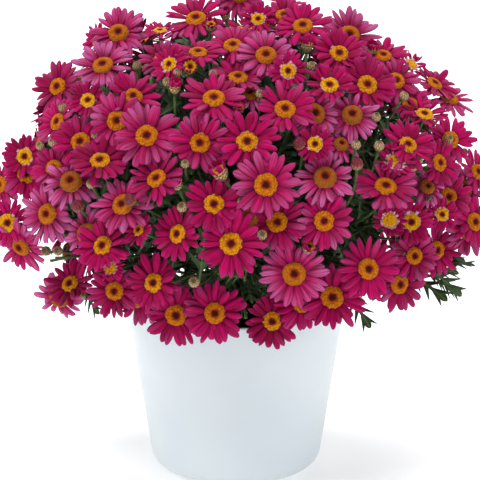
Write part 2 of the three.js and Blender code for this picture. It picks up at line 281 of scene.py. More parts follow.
class Lofts:
    """Collects closed lofts into one mesh: rings of points between a first and a last point."""

    def __init__(self) -> None:
        """Starts with no lofts."""
        self.points: list[Array] = []
        self.corners: list[Array] = []
        self.sizes: list[Array] = []
        self.slots: list[Array] = []
        self.marks: list[Array] = []
        self.count = 0

    def add(self, rings: Array, first: Array, last: Array, marks: Array, slot: int = 0) -> None:
        """Adds a batch of lofts of one kind.

        The rings run the right-handed way round the direction of travel, which turns every face
        outwards. Quads join each ring to the next, and a fan of triangles closes each end.

        Args:
            rings: Points of shape (lofts, rings, points of a ring, 3), in mm.
            first: The first point of each loft, shape (lofts, 3).
            last: The last point of each loft, shape (lofts, 3).
            marks: Four numbers for each point, in a shape that fits the rings'.
            slot: The material slot of the faces.
        """
        lofts, steps, around, _ = rings.shape
        marks = np.broadcast_to(marks, (lofts, steps, around, 4))
        ends = np.stack([marks[:, 0].mean(1), marks[:, -1].mean(1)], 1)
        ends[:, 0, 0] = 0.0
        ends[:, 1, 0] = 1.0
        each = steps * around + 2
        body = np.concatenate([rings.reshape(lofts, -1, 3), first[:, None], last[:, None]], 1)
        marked = np.concatenate([marks.reshape(lofts, -1, 4), ends], 1)
        ring = np.arange(around)
        after = (ring + 1) % around
        low = np.arange(steps - 1)[:, None] * around
        quads = np.stack([low + ring, low + after, low + around + after, low + around + ring], -1)
        top = (steps - 1) * around
        start = np.stack([np.full(around, each - 2), after, ring], -1)
        finish = np.stack([np.full(around, each - 1), top + ring, top + after], -1)
        offsets = self.count + np.arange(lofts)[:, None] * each
        quads = offsets + quads.reshape(1, -1)
        fans = offsets + np.concatenate([start, finish]).reshape(1, -1)
        self.points.append(body.reshape(-1, 3))
        self.marks.append(marked.reshape(-1, 4))
        self.corners += [quads.ravel(), fans.ravel()]
        sizes = [np.full(quads.size // 4, 4), np.full(fans.size // 3, 3)]
        self.sizes += sizes
        self.slots.append(np.full(len(sizes[0]) + len(sizes[1]), slot))
        self.count += lofts * each

    def make(self, name: str, materials: list[Material]) -> Thing:
        """Makes the object, in metres, with its marks as the attribute "mark".

        Args:
            name: The object's name.
            materials: One material for each slot.

        Returns:
            The new object, linked to the scene.
        """
        points = np.concatenate(self.points).astype(np.float32) * METRES
        corners = np.concatenate(self.corners).astype(np.int32)
        sizes = np.concatenate(self.sizes).astype(np.int32)
        mesh = bpy.data.meshes.new(name)
        mesh.vertices.add(len(points))
        mesh.vertices.foreach_set("co", points.ravel())
        mesh.loops.add(len(corners))
        mesh.loops.foreach_set("vertex_index", corners)
        mesh.polygons.add(len(sizes))
        faces = {
            "loop_start": (np.cumsum(sizes) - sizes).astype(np.int32),
            "loop_total": sizes,
            "material_index": np.concatenate(self.slots).astype(np.int32),
            "use_smooth": np.ones(len(sizes), bool),
        }
        for key, values in faces.items():
            mesh.polygons.foreach_set(key, values)
        mark = mesh.attributes.new("mark", "FLOAT_COLOR", "POINT")
        mark.data.foreach_set("color", np.concatenate(self.marks).astype(np.float32).ravel())
        for material in materials:
            mesh.materials.append(material)
        mesh.update()
        mesh.validate()
        thing = bpy.data.objects.new(name, mesh)
        bpy.context.scene.collection.objects.link(thing)
        return thing


def ring_angles(around: int) -> Array:
    """Evenly spaced angles once round a ring."""
    return np.arange(around) * 2.0 * np.pi / around


def turned_rings(profile: Array, around: int) -> Array:
    """Rings of a form turned about Z: each profile row is a radius and a height."""
    angles = ring_angles(around)
    radii = profile[:, 0, None]
    heights = np.broadcast_to(profile[:, 1, None], (len(profile), around))
    return np.stack([radii * np.cos(angles), radii * np.sin(angles), heights], -1)


def spread_marks(shape: tuple[int, ...], *marks: object) -> Array:
    """The marks along, across, tone and life, each spread over points of one shape."""
    return np.stack([np.broadcast_to(mark, shape) for mark in marks], -1)


def simple_marks(steps: int, around: int, tone: float, life: float = 0.0) -> Array:
    """Marks of one loft: share of the length, of half the way round and back, tone and life."""
    along = np.linspace(0.0, 1.0, steps)[:, None]
    across = 1.0 - np.abs(2.0 * np.arange(around) / around - 1.0)
    return spread_marks((steps, around), along, across, tone, life)


def frame_across(direction: Array) -> tuple[Array, Array]:
    """Two unit vectors square to a direction and to each other, right-handed with it."""
    helper = np.array([1.0, 0.0, 0.0]) if abs(direction[0]) < SIDEWAYS else np.array([0.0, 1.0, 0.0])
    side = unit(np.cross(direction, helper))
    return side, np.cross(direction, side)


@dataclass(frozen=True)
class Bezier:
    """A cubic Bezier curve."""

    points: Array

    def at(self, shares: Array) -> Array:
        """Points at shares of the curve's parameter: Bernstein's weights times the four points."""
        t = np.asarray(shares, float)[..., None]
        a, b, c, d = self.points
        return (1 - t) ** 3 * a + 3 * (1 - t) ** 2 * t * b + 3 * (1 - t) * t**2 * c + t**3 * d

    def along(self, shares: Array) -> Array:
        """Unit directions of travel: the derivative of the same sum."""
        t = np.asarray(shares, float)[..., None]
        a, b, c, d = self.points
        return unit((1 - t) ** 2 * (b - a) + 2 * (1 - t) * t * (c - b) + t**2 * (d - c))

    def tube(self, radii: Array, around: int) -> tuple[Array, Array, Array]:
        """A round tube carried along the curve.

        Each ring lies square to the curve, turned as little as a fixed side vector allows.

        Args:
            radii: The tube's radius at evenly spaced shares.
            around: Points of each ring.

        Returns:
            Rings of shape (1, rings, around, 3) and the first and last points.
        """
        shares = np.linspace(0.0, 1.0, len(radii))
        middles = self.at(shares)
        travel = self.along(shares)
        side, _ = frame_across(unit(self.points[3] - self.points[0]))
        side = unit(side - travel * (travel @ side)[:, None])
        other = np.cross(travel, side)
        angles = ring_angles(around)[None, :, None]
        spoke = side[:, None] * np.cos(angles) + other[:, None] * np.sin(angles)
        rings = middles[:, None] + spoke * radii[:, None, None]
        return rings[None], middles[None, 0], middles[None, -1]


def add_node(tree: Tree, kind: str, inputs: dict | None = None, **settings: object) -> bpy.types.Node:
    """Adds a node with its settings, values and links.

    Args:
        tree: The node tree.
        kind: The node's type.
        inputs: For each input, by name or number, a value or the socket that is linked to it.
        **settings: The node's own properties.

    Returns:
        The new node.
    """
    node = tree.nodes.new(kind)
    for name, value in settings.items():
        setattr(node, name, value)
    for name, value in (inputs or {}).items():
        socket = node.inputs[name]
        if isinstance(value, Socket):
            tree.links.new(value, socket)
        else:
            socket.default_value = value
    return node


def linear(colour: str) -> tuple[float, float, float, float]:
    """An sRGB hex colour as linear red, green, blue and alpha."""
    values = np.array([int(colour[i : i + 2], 16) for i in (1, 3, 5)]) / 255.0
    low = values / 12.92
    high = ((values + 0.055) / 1.055) ** 2.4
    red, green, blue = np.where(values <= 0.04045, low, high)
    return float(red), float(green), float(blue), 1.0


@dataclass(frozen=True)
class Finish:
    """What all finishes share: a material with one shader and the marks of the lofts.

    pattern is the distance in mm over which the finest visible grain repeats, and relief its depth.
    """

    name: str = "plain"
    roughness: float = 0.5
    specular: float = 0.5
    sheen: float = 0.0
    sheen_roughness: float = 0.35
    sheen_tint: str = "#FFFFFF"
    pattern: float = 1.0
    relief: float = 0.1

    def paint(self, tree: Tree) -> Painted:
        """Adds the finish's own nodes; gives the shader's inputs and the height of its relief."""
        raise NotImplementedError

    def build(self) -> Material:
        """Makes the material: one shader with the constants, the painted inputs and the relief."""
        material = bpy.data.materials.new(self.name)
        material.use_nodes = True
        tree = material.node_tree
        tree.nodes.clear()
        painted, height = self.paint(tree)
        relief = {"Height": height, "Strength": 1.0, "Distance": self.relief * METRES}
        values = {
            "Roughness": self.roughness,
            "Specular IOR Level": self.specular,
            "Sheen Weight": self.sheen,
            "Sheen Roughness": self.sheen_roughness,
            "Sheen Tint": linear(self.sheen_tint),
            "Normal": add_node(tree, "ShaderNodeBump", relief).outputs["Normal"],
        }
        shader = add_node(tree, "ShaderNodeBsdfPrincipled", values | painted)
        add_node(tree, "ShaderNodeOutputMaterial", {"Surface": shader.outputs["BSDF"]})
        return material

    def marks(self, tree: Tree) -> list[Socket]:
        """Sockets of the lofts' marks: along, across, tone and life."""
        mark = add_node(tree, "ShaderNodeAttribute", attribute_name="mark")
        parts = add_node(tree, "ShaderNodeSeparateColor", {"Color": mark.outputs["Color"]})
        return [parts.outputs[0], parts.outputs[1], parts.outputs[2], mark.outputs["Alpha"]]

    def sum(self, tree: Tree, operation: str, *values: object) -> Socket:
        """The result of one sum on numbers or sockets."""
        inputs = dict(enumerate(values))
        return add_node(tree, "ShaderNodeMath", inputs, operation=operation).outputs[0]

    def mix(self, tree: Tree, share: Socket, first: Socket | str, second: Socket | str) -> Socket:
        """A blend of two colours, each a socket or an sRGB hex value."""
        ends = [linear(c) if isinstance(c, str) else c for c in (first, second)]
        inputs = {0: share, 6: ends[0], 7: ends[1]}
        return add_node(tree, "ShaderNodeMix", inputs, data_type="RGBA").outputs[2]

    def span(
        self, tree: Tree, value: Socket, low: float, high: float, start: float = 0.0, end: float = 1.0
    ) -> Socket:
        """A smooth passage of a value from start at low to end at high."""
        inputs = {"Value": value, 1: low, 2: high, 3: start, 4: end}
        node = add_node(tree, "ShaderNodeMapRange", inputs, interpolation_type="SMOOTHSTEP")
        return node.outputs[0]

    def lay(self, tree: Tree, under: Socket, value: Socket, passage: Passage, over: str) -> Socket:
        """A colour laid over another as far as the passage of a value says."""
        return self.mix(tree, self.span(tree, value, *passage), under, over)

    def place(self, tree: Tree) -> Socket:
        """The object's own coordinates."""
        return add_node(tree, "ShaderNodeTexCoord").outputs["Object"]

    def grain(self, tree: Tree, size: float, detail: float = 2.0) -> Socket:
        """A noise in the object's own coordinates whose lumps are about size mm across."""
        inputs = {"Vector": self.place(tree), "Scale": 1.0 / (size * METRES), "Detail": detail}
        return add_node(tree, "ShaderNodeTexNoise", inputs).outputs[0]

    def scales(self, tree: Tree, along: Socket, across: Socket, columns: float, rows: float) -> Socket:
        """Overlapping scales: 0 in the middle of each and 1 at its edge.

        Two families of slanting lines cut the surface into diamonds. The value is the greater of
        the two distances from the lines' midways, each doubled.
        """
        wide = self.sum(tree, "MULTIPLY", across, columns)
        edges = []
        for slant in (rows, -rows):
            turn = self.sum(tree, "MULTIPLY_ADD", along, slant, wide)
            share = self.sum(tree, "SUBTRACT", self.sum(tree, "FLOORED_MODULO", turn, 1.0), 0.5)
            edges.append(self.sum(tree, "MULTIPLY", self.sum(tree, "ABSOLUTE", share), 2.0))
        return self.sum(tree, "MAXIMUM", *edges)


@dataclass(frozen=True)
class RayFloret(Finish):
    """Fresh ray florets: thin velvety petals whose cone-shaped cells give a soft sheen.

    Fine streaks run along the petal, its foot is deeper and its tip is paler. Its rims carry a
    painted highlight: a paler pink along the outer part of the edges. An old petal fades to a pale
    pink from the tip inwards. Newly opened ones are white at their feet.
    """

    name: str = "velvety_ray_floret"
    roughness: float = 0.7
    specular: float = 0.1
    sheen: float = 0.1
    sheen_tint: str = "#FF5AA6"
    relief: float = 0.12
    deep: str = "#540020"
    body: str = "#840038"
    bright: str = "#C0025E"
    tip: str = "#BE2A7A"
    # rim: painted highlight, a paler pink along each petal's outer edges
    rim: str = "#CC5896"
    faded: str = "#CA6AA6"
    halo: str = "#E2AEC2"
    blemish: str = "#7A3226"
    streaks: float = 6.5
    tone_apart: float = 37.0
    tone_wear: Passage = (-0.3, 0.15)
    wear_blend: Passage = (0.3, 1.05)
    fade_along: Passage = (0.2, 0.8, 0.12, 0.85)
    rim_highlight_along: Passage = (0.4, 0.95, 0.05, 0.4)
    rim_highlight_aside: Passage = (0.34, 0.5)
    tip_blend: Passage = (0.6, 1.0, 0.0, 0.5)
    foot_blend: Passage = (0.45, 0.05, 0.0, 0.55)
    streak_detail: float = 3.0
    streak_blend: Passage = (0.44, 0.64, 0.0, 0.7)
    halo_life: float = 0.7
    halo_blend: Passage = (0.15, 0.08, 0.0, 0.75)
    speck_grain: Passage = (5.0, 1.0)
    speck_blend: Passage = (0.76, 0.84, 0.0, 0.5)

    def paint(self, tree: Tree) -> Painted:
        """Its colour and relief."""
        along, across, tone, life = self.marks(tree)
        wide = self.sum(tree, "MULTIPLY", across, self.streaks)
        apart = self.sum(tree, "MULTIPLY", tone, self.tone_apart)
        lane = add_node(tree, "ShaderNodeCombineXYZ", {0: wide, 1: along, 2: apart}).outputs[0]
        inputs = {"Vector": lane, "Scale": 1.0, "Detail": self.streak_detail}
        streak = add_node(tree, "ShaderNodeTexNoise", inputs).outputs[0]
        worn = self.sum(tree, "ADD", self.sum(tree, "MULTIPLY_ADD", tone, *self.tone_wear), life)
        age = self.span(tree, worn, *self.wear_blend)
        outer = self.sum(tree, "MULTIPLY", age, self.span(tree, along, *self.fade_along))
        aside = self.sum(tree, "ABSOLUTE", self.sum(tree, "SUBTRACT", across, MIDRIB))
        # Painted highlight: the outer part of each petal is paler along its rims.
        outward = self.span(tree, along, *self.rim_highlight_along)
        rim_highlight = self.sum(tree, "MULTIPLY", self.span(tree, aside, *self.rim_highlight_aside), outward)
        colour = self.mix(tree, tone, self.body, self.bright)
        colour = self.lay(tree, colour, along, self.tip_blend, self.tip)
        colour = self.mix(tree, outer, colour, self.faded)
        colour = self.mix(tree, rim_highlight, colour, self.rim)
        colour = self.lay(tree, colour, along, self.foot_blend, self.deep)
        colour = self.lay(tree, colour, streak, self.streak_blend, self.body)
        pale = self.sum(tree, "MULTIPLY_ADD", life, self.halo_life, along)
        ring = self.span(tree, pale, *self.halo_blend)
        colour = self.mix(tree, ring, colour, self.halo)
        specks = self.span(tree, self.grain(tree, *self.speck_grain), *self.speck_blend)
        colour = self.mix(tree, specks, colour, self.blemish)
        return {"Base Color": colour}, streak


@dataclass(frozen=True)
class DiscFlorets(Finish):
    """A disc of tiny tubular florets: open and golden round a dark maroon eye of closed ones."""

    name: str = "golden_disc_florets"
    roughness: float = 0.8
    specular: float = 0.1
    pattern: float = 1.35
    relief: float = 0.5
    eye: str = "#430A10"
    ring: str = "#8E3208"
    rust: str = "#96561E"
    gold: str = "#C4700A"
    fresh: str = "#E0A206"
    pollen: str = "#E6A41E"
    # gap_shade: painted shade, a darker brown in the gaps between the florets
    gap_shade: str = "#8A4006"
    edge: str = "#D9B48C"
    ragged_grain: Passage = (1.8, 1.0)
    ragged_edge: Passage = (0.2, -0.1)
    ripe_blend: Passage = (0.0, 0.4)
    pollen_life: Passage = (0.9, 0.1, 0.1, 0.55)
    pollen_spot: Passage = (0.4, 0.1)
    rust_blend: Passage = (0.6, 1.05)
    gap_shade_blend: Passage = (0.4, 0.8, 0.0, 0.6)
    eye_life: Passage = (-0.25, -0.05)
    ring_blend: Passage = (0.62, 0.84)
    eye_blend: Passage = (0.76, 0.95)
    edge_blend: Passage = (0.3, 0.16, 0.0, 0.6)

    def paint(self, tree: Tree) -> Painted:
        """Its colour and relief."""
        along, _, _, life = self.marks(tree)
        inputs = {"Vector": self.place(tree), "Scale": 1.0 / (self.pattern * METRES)}
        cells = add_node(tree, "ShaderNodeTexVoronoi", inputs).outputs["Distance"]
        ragged = self.sum(tree, "MULTIPLY_ADD", self.grain(tree, *self.ragged_grain), *self.ragged_edge)
        inward = self.sum(tree, "ADD", along, ragged)
        ripe = self.mix(tree, self.span(tree, life, *self.ripe_blend), self.fresh, self.gold)
        lively = self.span(tree, life, *self.pollen_life)
        grains = self.sum(tree, "MULTIPLY", self.span(tree, cells, *self.pollen_spot), lively)
        ripe = self.lay(tree, ripe, life, self.rust_blend, self.rust)
        ripe = self.mix(tree, grains, ripe, self.pollen)
        # Painted shade between the florets: darker brown where the cells meet.
        ripe = self.lay(tree, ripe, cells, self.gap_shade_blend, self.gap_shade)
        opened = self.span(tree, life, *self.eye_life)
        soft = self.sum(tree, "MULTIPLY", self.span(tree, inward, *self.ring_blend), opened)
        dark = self.sum(tree, "MULTIPLY", self.span(tree, inward, *self.eye_blend), opened)
        colour = self.mix(tree, soft, ripe, self.ring)
        colour = self.mix(tree, dark, colour, self.eye)
        colour = self.lay(tree, colour, inward, self.edge_blend, self.edge)
        return {"Base Color": colour}, self.sum(tree, "SUBTRACT", 1.0, cells)


@dataclass(frozen=True)
class GreenSkin(Finish):
    """Smooth green plant skin of stalks, lighter and yellower towards the flower."""

    name: str = "green_stalk_skin"
    roughness: float = 0.5
    specular: float = 0.3
    relief: float = 0.08
    old: str = "#26361A"
    young: str = "#46602E"
    pale: str = "#7C8A52"
    flush: str = "#5A3C2A"
    lump_size: float = 3.0
    lump_blend: Passage = (0.45, 0.75, 0.0, 0.5)
    flush_blend: Passage = (0.5, 1.0, 0.0, 0.35)
    ridges: float = 31.4

    def paint(self, tree: Tree) -> Painted:
        """Its colour and relief."""
        along, across, tone, _ = self.marks(tree)
        colour = self.mix(tree, along, self.old, self.young)
        lump = self.span(tree, self.grain(tree, self.lump_size), *self.lump_blend)
        colour = self.mix(tree, lump, colour, self.pale)
        colour = self.lay(tree, colour, tone, self.flush_blend, self.flush)
        ridge = self.sum(tree, "SINE", self.sum(tree, "MULTIPLY", across, self.ridges))
        return {"Base Color": colour}, ridge


@dataclass(frozen=True)
class Bracts(Finish):
    """The calyx: small green bracts that overlap, each with a thin dry brown edge."""

    name: str = "overlapping_green_bracts"
    roughness: float = 0.6
    specular: float = 0.2
    relief: float = 0.25
    green: str = "#3E5226"
    foot: str = "#54663A"
    edge: str = "#6A5A34"
    columns: float = 7.0
    rows: float = 2.2
    edge_blend: Passage = (0.7, 1.0, 0.0, 0.8)

    def paint(self, tree: Tree) -> Painted:
        """Its colour and relief."""
        along, across, _, _ = self.marks(tree)
        edges = self.scales(tree, along, across, columns=self.columns, rows=self.rows)
        colour = self.mix(tree, along, self.foot, self.green)
        colour = self.lay(tree, colour, edges, self.edge_blend, self.edge)
        return {"Base Color": colour}, self.sum(tree, "SUBTRACT", 1.0, edges)


@dataclass(frozen=True)
class LeafSkin(Finish):
    """Matt green leaf with a faint grey bloom, a pale sunk midrib and darker old leaves."""

    name: str = "lobed_leaf_skin"
    roughness: float = 0.55
    specular: float = 0.25
    sheen: float = 0.04
    sheen_tint: str = "#C8E0C8"
    pattern: float = 1.5
    relief: float = 0.25
    dark: str = "#1E2E12"
    fresh: str = "#425E30"
    vein: str = "#6C8450"
    lump_size: float = 6.0
    lump_blend: Passage = (0.4, 0.7, 0.0, 0.5)
    vein_blend: Passage = (0.07, 0.0, 0.0, 0.5)

    def paint(self, tree: Tree) -> Painted:
        """Its colour and relief."""
        _, across, tone, _ = self.marks(tree)
        colour = self.mix(tree, tone, self.dark, self.fresh)
        lump = self.span(tree, self.grain(tree, self.lump_size), *self.lump_blend)
        colour = self.mix(tree, lump, colour, self.dark)
        aside = self.sum(tree, "ABSOLUTE", self.sum(tree, "SUBTRACT", across, MIDRIB))
        colour = self.lay(tree, colour, aside, self.vein_blend, self.vein)
        return {"Base Color": colour}, self.grain(tree, self.pattern)


@dataclass(frozen=True)
class BudScales(Finish):
    """A closed bud: overlapping dry-edged scales, cream over green, pink where petals push out."""

    name: str = "papery_bud_scales"
    roughness: float = 0.5
    specular: float = 0.25
    relief: float = 0.5
    green: str = "#5E6430"
    cream: str = "#CDB286"
    brown: str = "#6A4426"
    dull: str = "#66552E"
    pink: str = "#7E0A38"
    columns: float = 5.0
    rows: float = 2.0
    cream_blend: Passage = (0.1, 0.55)
    tip_blend: Passage = (0.86, 1.0, 0.0, 0.8)
    pink_along: Passage = (0.2, 0.65)
    edge_blend: Passage = (0.62, 0.92, 0.0, 0.85)
    dull_blend: Passage = (0.2, 1.0, 0.0, 0.75)

    def paint(self, tree: Tree) -> Painted:
        """Its colour and relief."""
        along, across, tone, life = self.marks(tree)
        edges = self.scales(tree, along, across, columns=self.columns, rows=self.rows)
        colour = self.mix(tree, self.span(tree, along, *self.cream_blend), self.green, self.cream)
        colour = self.lay(tree, colour, along, self.tip_blend, self.green)
        blush = self.sum(tree, "MULTIPLY", self.span(tree, along, *self.pink_along), life)
        colour = self.mix(tree, blush, colour, self.pink)
        colour = self.lay(tree, colour, edges, self.edge_blend, self.brown)
        colour = self.lay(tree, colour, tone, self.dull_blend, self.dull)
        return {"Base Color": colour}, self.sum(tree, "SUBTRACT", 1.0, edges)


@dataclass(frozen=True)
class RidgedBark(Finish):
    """Thin brown bark of an old stem, split lengthwise over green."""

    name: str = "ridged_bark"
    roughness: float = 0.85
    specular: float = 0.2
    relief: float = 0.6
    brown: str = "#5E4A33"
    grey: str = "#8C7B60"
    green: str = "#4E5A34"
    stretch: Passage = (900.0, 900.0, 130.0)
    detail: float = 4.0
    split_blend: Passage = (0.35, 0.65)
    lump_size: float = 9.0
    lump_blend: Passage = (0.5, 0.7, 0.0, 0.7)

    def paint(self, tree: Tree) -> Painted:
        """Its colour and relief."""
        stretched = {"Vector": self.place(tree), "Scale": self.stretch}
        lane = add_node(tree, "ShaderNodeMapping", stretched).outputs[0]
        inputs = {"Vector": lane, "Scale": 1.0, "Detail": self.detail}
        split = add_node(tree, "ShaderNodeTexNoise", inputs).outputs[0]
        colour = self.mix(tree, self.span(tree, split, *self.split_blend), self.brown, self.grey)
        lump = self.span(tree, self.grain(tree, self.lump_size), *self.lump_blend)
        colour = self.mix(tree, lump, colour, self.green)
        return {"Base Color": colour}, split


@dataclass(frozen=True)
class MoistPeat(Finish):
    """Moist peat compost: dark brown crumbs with a few pale fibres."""

    name: str = "moist_peat"
    roughness: float = 0.95
    specular: float = 0.15
    pattern: float = 2.2
    relief: float = 0.9
    dark: str = "#20170F"
    crumb: str = "#4A3626"
    fibre: str = "#8A7350"
    detail: float = 4.0
    crumb_blend: Passage = (0.35, 0.65)
    fibre_grain: Passage = (1.1, 1.0)
    fibre_blend: Passage = (0.72, 0.8)

    def paint(self, tree: Tree) -> Painted:
        """Its colour and relief."""
        lump = self.grain(tree, self.pattern, self.detail)
        colour = self.mix(tree, self.span(tree, lump, *self.crumb_blend), self.dark, self.crumb)
        fleck = self.span(tree, self.grain(tree, *self.fibre_grain), *self.fibre_blend)
        colour = self.mix(tree, fleck, colour, self.fibre)
        return {"Base Color": colour}, lump


@dataclass(frozen=True)
class MouldedPot(Finish):
    """White injection-moulded polypropylene: satin, faintly cool, with the mould's fine spark grain.

    The gloss wanders a little over the wall, and the lowest part is greyer in small blotches.
    """

    name: str = "moulded_white_polypropylene"
    roughness: float = 0.42
    specular: float = 0.4
    pattern: float = 0.8
    relief: float = 0.02
    white: str = "#DAE3E7"
    shade: str = "#D5DFE5"
    # bottom_grey: a greyer colour in small blotches within the lowest few mm of the pot
    bottom_grey: str = "#CCD1D0"
    bottom_grey_height: float = 12.0
    detail: float = 3.0
    cloud_size: float = 60.0
    cloud_blend: Passage = (0.3, 0.75)
    blotch_size: float = 7.0
    blotch_blend: Passage = (0.4, 0.7, 0.1, 0.5)
    glossier: float = 0.04
    duller: float = 0.05

    def paint(self, tree: Tree) -> Painted:
        """Its colour and relief."""
        cloud = self.grain(tree, self.cloud_size)
        colour = self.mix(tree, self.span(tree, cloud, *self.cloud_blend), self.white, self.shade)
        height = add_node(tree, "ShaderNodeSeparateXYZ", {0: self.place(tree)}).outputs[2]
        # Darker and greyer in small blotches towards the bottom.
        low = self.span(tree, height, self.bottom_grey_height * METRES, 0.0)
        blotch = self.span(tree, self.grain(tree, self.blotch_size), *self.blotch_blend)
        bottom_greying = self.sum(tree, "MULTIPLY", low, blotch)
        colour = self.mix(tree, bottom_greying, colour, self.bottom_grey)
        gloss = (self.roughness - self.glossier, self.roughness + self.duller)
        dull = self.span(tree, cloud, *self.cloud_blend, *gloss)
        return {"Base Color": colour, "Roughness": dull}, self.grain(tree, self.pattern, self.detail)


@dataclass(frozen=True)
class StudioPaper(Finish):
    """Pale matt paper of the floor and the sweep behind it."""

    name: str = "pale_studio_paper"
    roughness: float = 0.9
    specular: float = 0.0
    pattern: float = 3.0
    relief: float = 0.02
    white: str = "#F8F8F8"
    bleach: float = 0.31

    def paint(self, tree: Tree) -> Painted:
        """Its colour and relief."""
        white = linear(self.white)
        values = {"Base Color": white, "Emission Color": white, "Emission Strength": self.bleach}
        return values, self.grain(tree, self.pattern)


@dataclass(frozen=True)
class Finishes:
    """Every material of the object, made once."""

    petal: Material
    disc: Material
    bracts: Material
    green: Material
    leaf: Material
    bud: Material
    bark: Material
    soil: Material
    pot: Material

    @classmethod
    def make(cls) -> "Finishes":
        """Builds them all."""
        return cls(
            petal=RayFloret().build(),
            disc=DiscFlorets().build(),
            bracts=Bracts().build(),
            green=GreenSkin().build(),
            leaf=LeafSkin().build(),
            bud=BudScales().build(),
            bark=RidgedBark().build(),
            soil=MoistPeat().build(),
            pot=MouldedPot().build(),
        )


@dataclass
class FlowerHead:
    """One daisy head: a ring of grooved ray florets, a domed disc and the calyx under it.

    The spreads are those of the random differences between petals: shares of what they act on,
    and degrees for the roll. notched and stunted are the shares of petals that have a notch or
    stay short. The swells and bumps are shares of a ring's radius.
    """

    head: Head
    rng: np.random.Generator
    arch: float = 0.075
    groove: float = 0.035
    notch: float = 0.06
    notched: float = 0.4
    foot: float = 0.78
    cupped_foot: float = 0.96
    turn_spread: float = 0.24
    droop_spread: float = 1.5
    length_spread: float = 0.06
    stunted: float = 0.12
    stunting: float = 0.2
    width_spread: float = 0.12
    roll: float = 5.0
    roll_spread: float = 15.0
    foot_roll: float = 0.4
    drift_spread: float = 0.06
    upper_layer: float = 0.8
    lower_layer: float = -0.5
    layer_spread: float = 0.25
    tones: Passage = (0.2, 0.8)
    tone_spread: float = 0.24
    head_life_spread: float = 0.06
    petal_life_spread: float = 0.09
    floret_swell: float = 0.012
    floret_bumps: float = 0.014
    bract_swell: float = 0.05
    thickness: float = 0.35
    disc_around: int = 24
    calyx_around: int = 14
    form: HeadForm = field(init=False)

    def __post_init__(self) -> None:
        """Looks up the form of the head's age."""
        self.form = HEAD_FORMS[self.head.age]

    @property
    def radius(self) -> float:
        """The head's radius in mm."""
        return 0.5 * self.head.size

    @property
    def disc_radius(self) -> float:
        """The disc's radius in mm."""
        return self.form.disc * self.radius

    def settle(self, local: Array) -> Array:
        """Local points, with Z the way the head faces, taken to the object's frame."""
        side, other = frame_across(self.head.normal)
        basis = np.stack([side, other, self.head.normal])
        return self.head.place + local @ basis

    def petals(self, lofts: Lofts) -> None:
        """Adds the ray florets.

        Their width swells from the foot to two thirds and narrows to a tip, some of which are
        pointed and some notched. Each section is eight points: edge, groove, ridge, groove and
        edge on top and three below, on a flat arch.

        Args:
            lofts: The mesh that they go into.
        """
        form = self.form
        count = form.petals + int(self.rng.integers(-1, 3))
        swing = np.pi / count
        azimuth = ring_angles(count) + self.rng.normal(0.0, self.turn_spread * swing, count)
        lift = np.radians(form.lift + self.rng.normal(0.0, form.scatter, count))
        bend = self.rng.normal(0.0, self.droop_spread * form.scatter, count)
        droop = np.radians(form.droop + bend)
        start = (self.cupped_foot if self.head.age is Age.OPENING else self.foot) * self.disc_radius
        length = form.length * self.radius - start
        length = length * self.rng.normal(1.0, self.length_spread, count)
        length *= 1.0 - self.stunting * (self.rng.random(count) < self.stunted)
        scale = self.head.size / REFERENCE_SIZE
        width = form.width * scale * self.rng.normal(1.0, self.width_spread, count)
        roll = np.radians(self.rng.normal(self.roll, self.roll_spread, count))
        sideways = self.rng.normal(0.0, self.drift_spread, count)
        layer = np.where(np.arange(count) % 2, self.upper_layer, self.lower_layer)
        layer = scale * (layer + self.rng.normal(0.0, self.layer_spread, count))
        pointed = self.rng.random((count, 1))
        notched = self.notch * (self.rng.random(count) < self.notched)

        share = np.array([0.0, 0.13, 0.32, 0.52, 0.70, 0.86, 0.96, 1.0])
        swell = np.array([0.46, 0.64, 0.88, 1.0, 0.99, 0.84, 0.52])
        swell = swell - pointed * np.array([0.0, 0.0, 0.0, 0.0, 0.05, 0.18, 0.28])
        angle = lift[:, None] - droop[:, None] * share**2
        out, rise = self.middle_lines(angle, np.diff(share) * length[:, None])
        out = out + start
        rise = rise + layer[:, None]
        drift = sideways[:, None] * length[:, None] * share**2

        across = np.array([1.0, 0.52, 0.0, -0.52, -1.0, -0.5, 0.0, 0.5])
        turn = roll[:, None, None] * (self.foot_roll + (1.0 - self.foot_roll) * share[:-1])[:, None]
        flat, high = self.sections(width, swell, across, turn)
        lean = angle[:, :-1, None]
        radial = out[:, :-1, None] - high * np.sin(lean)
        level = rise[:, :-1, None] + high * np.cos(lean)
        sidelong = flat + drift[:, :-1, None]
        rings = self.spread(azimuth, radial, sidelong, level)
        first = self.spread(azimuth, out[:, :1, None], drift[:, :1, None], rise[:, :1, None])
        tip = out[:, -1:, None] - (notched * length)[:, None, None]
        last = self.spread(azimuth, tip, drift[:, -1:, None], rise[:, -1:, None])
        shape = rings.shape[:3]
        tone = self.rng.uniform(*self.tones) + self.rng.normal(0.0, self.tone_spread, count)
        tone = np.clip(tone, 0.0, 1.0)[:, None, None]
        life = form.life + self.rng.normal(0.0, self.head_life_spread)
        life = (life + self.rng.normal(0.0, self.petal_life_spread, count))[:, None, None]
        marks = spread_marks(shape, share[:-1, None], MIDRIB + 0.5 * across, tone, life)
        lofts.add(self.settle(rings), self.settle(first[:, 0, 0]), self.settle(last[:, 0, 0]), marks)

    @staticmethod
    def middle_lines(angle: Array, stretch: Array) -> tuple[Array, Array]:
        """The petals' middle lines: the running sum of each line's direction.

        Args:
            angle: Each line's slope at each of its points.
            stretch: The distance from each point to the next.

        Returns:
            How far out and how high each point lies from the line's start.
        """
        middle = 0.5 * (angle[:, 1:] + angle[:, :-1])
        start = np.zeros((len(angle), 1))
        out = np.concatenate([start, (np.cos(middle) * stretch).cumsum(1)], 1)
        return out, np.concatenate([start, (np.sin(middle) * stretch).cumsum(1)], 1)

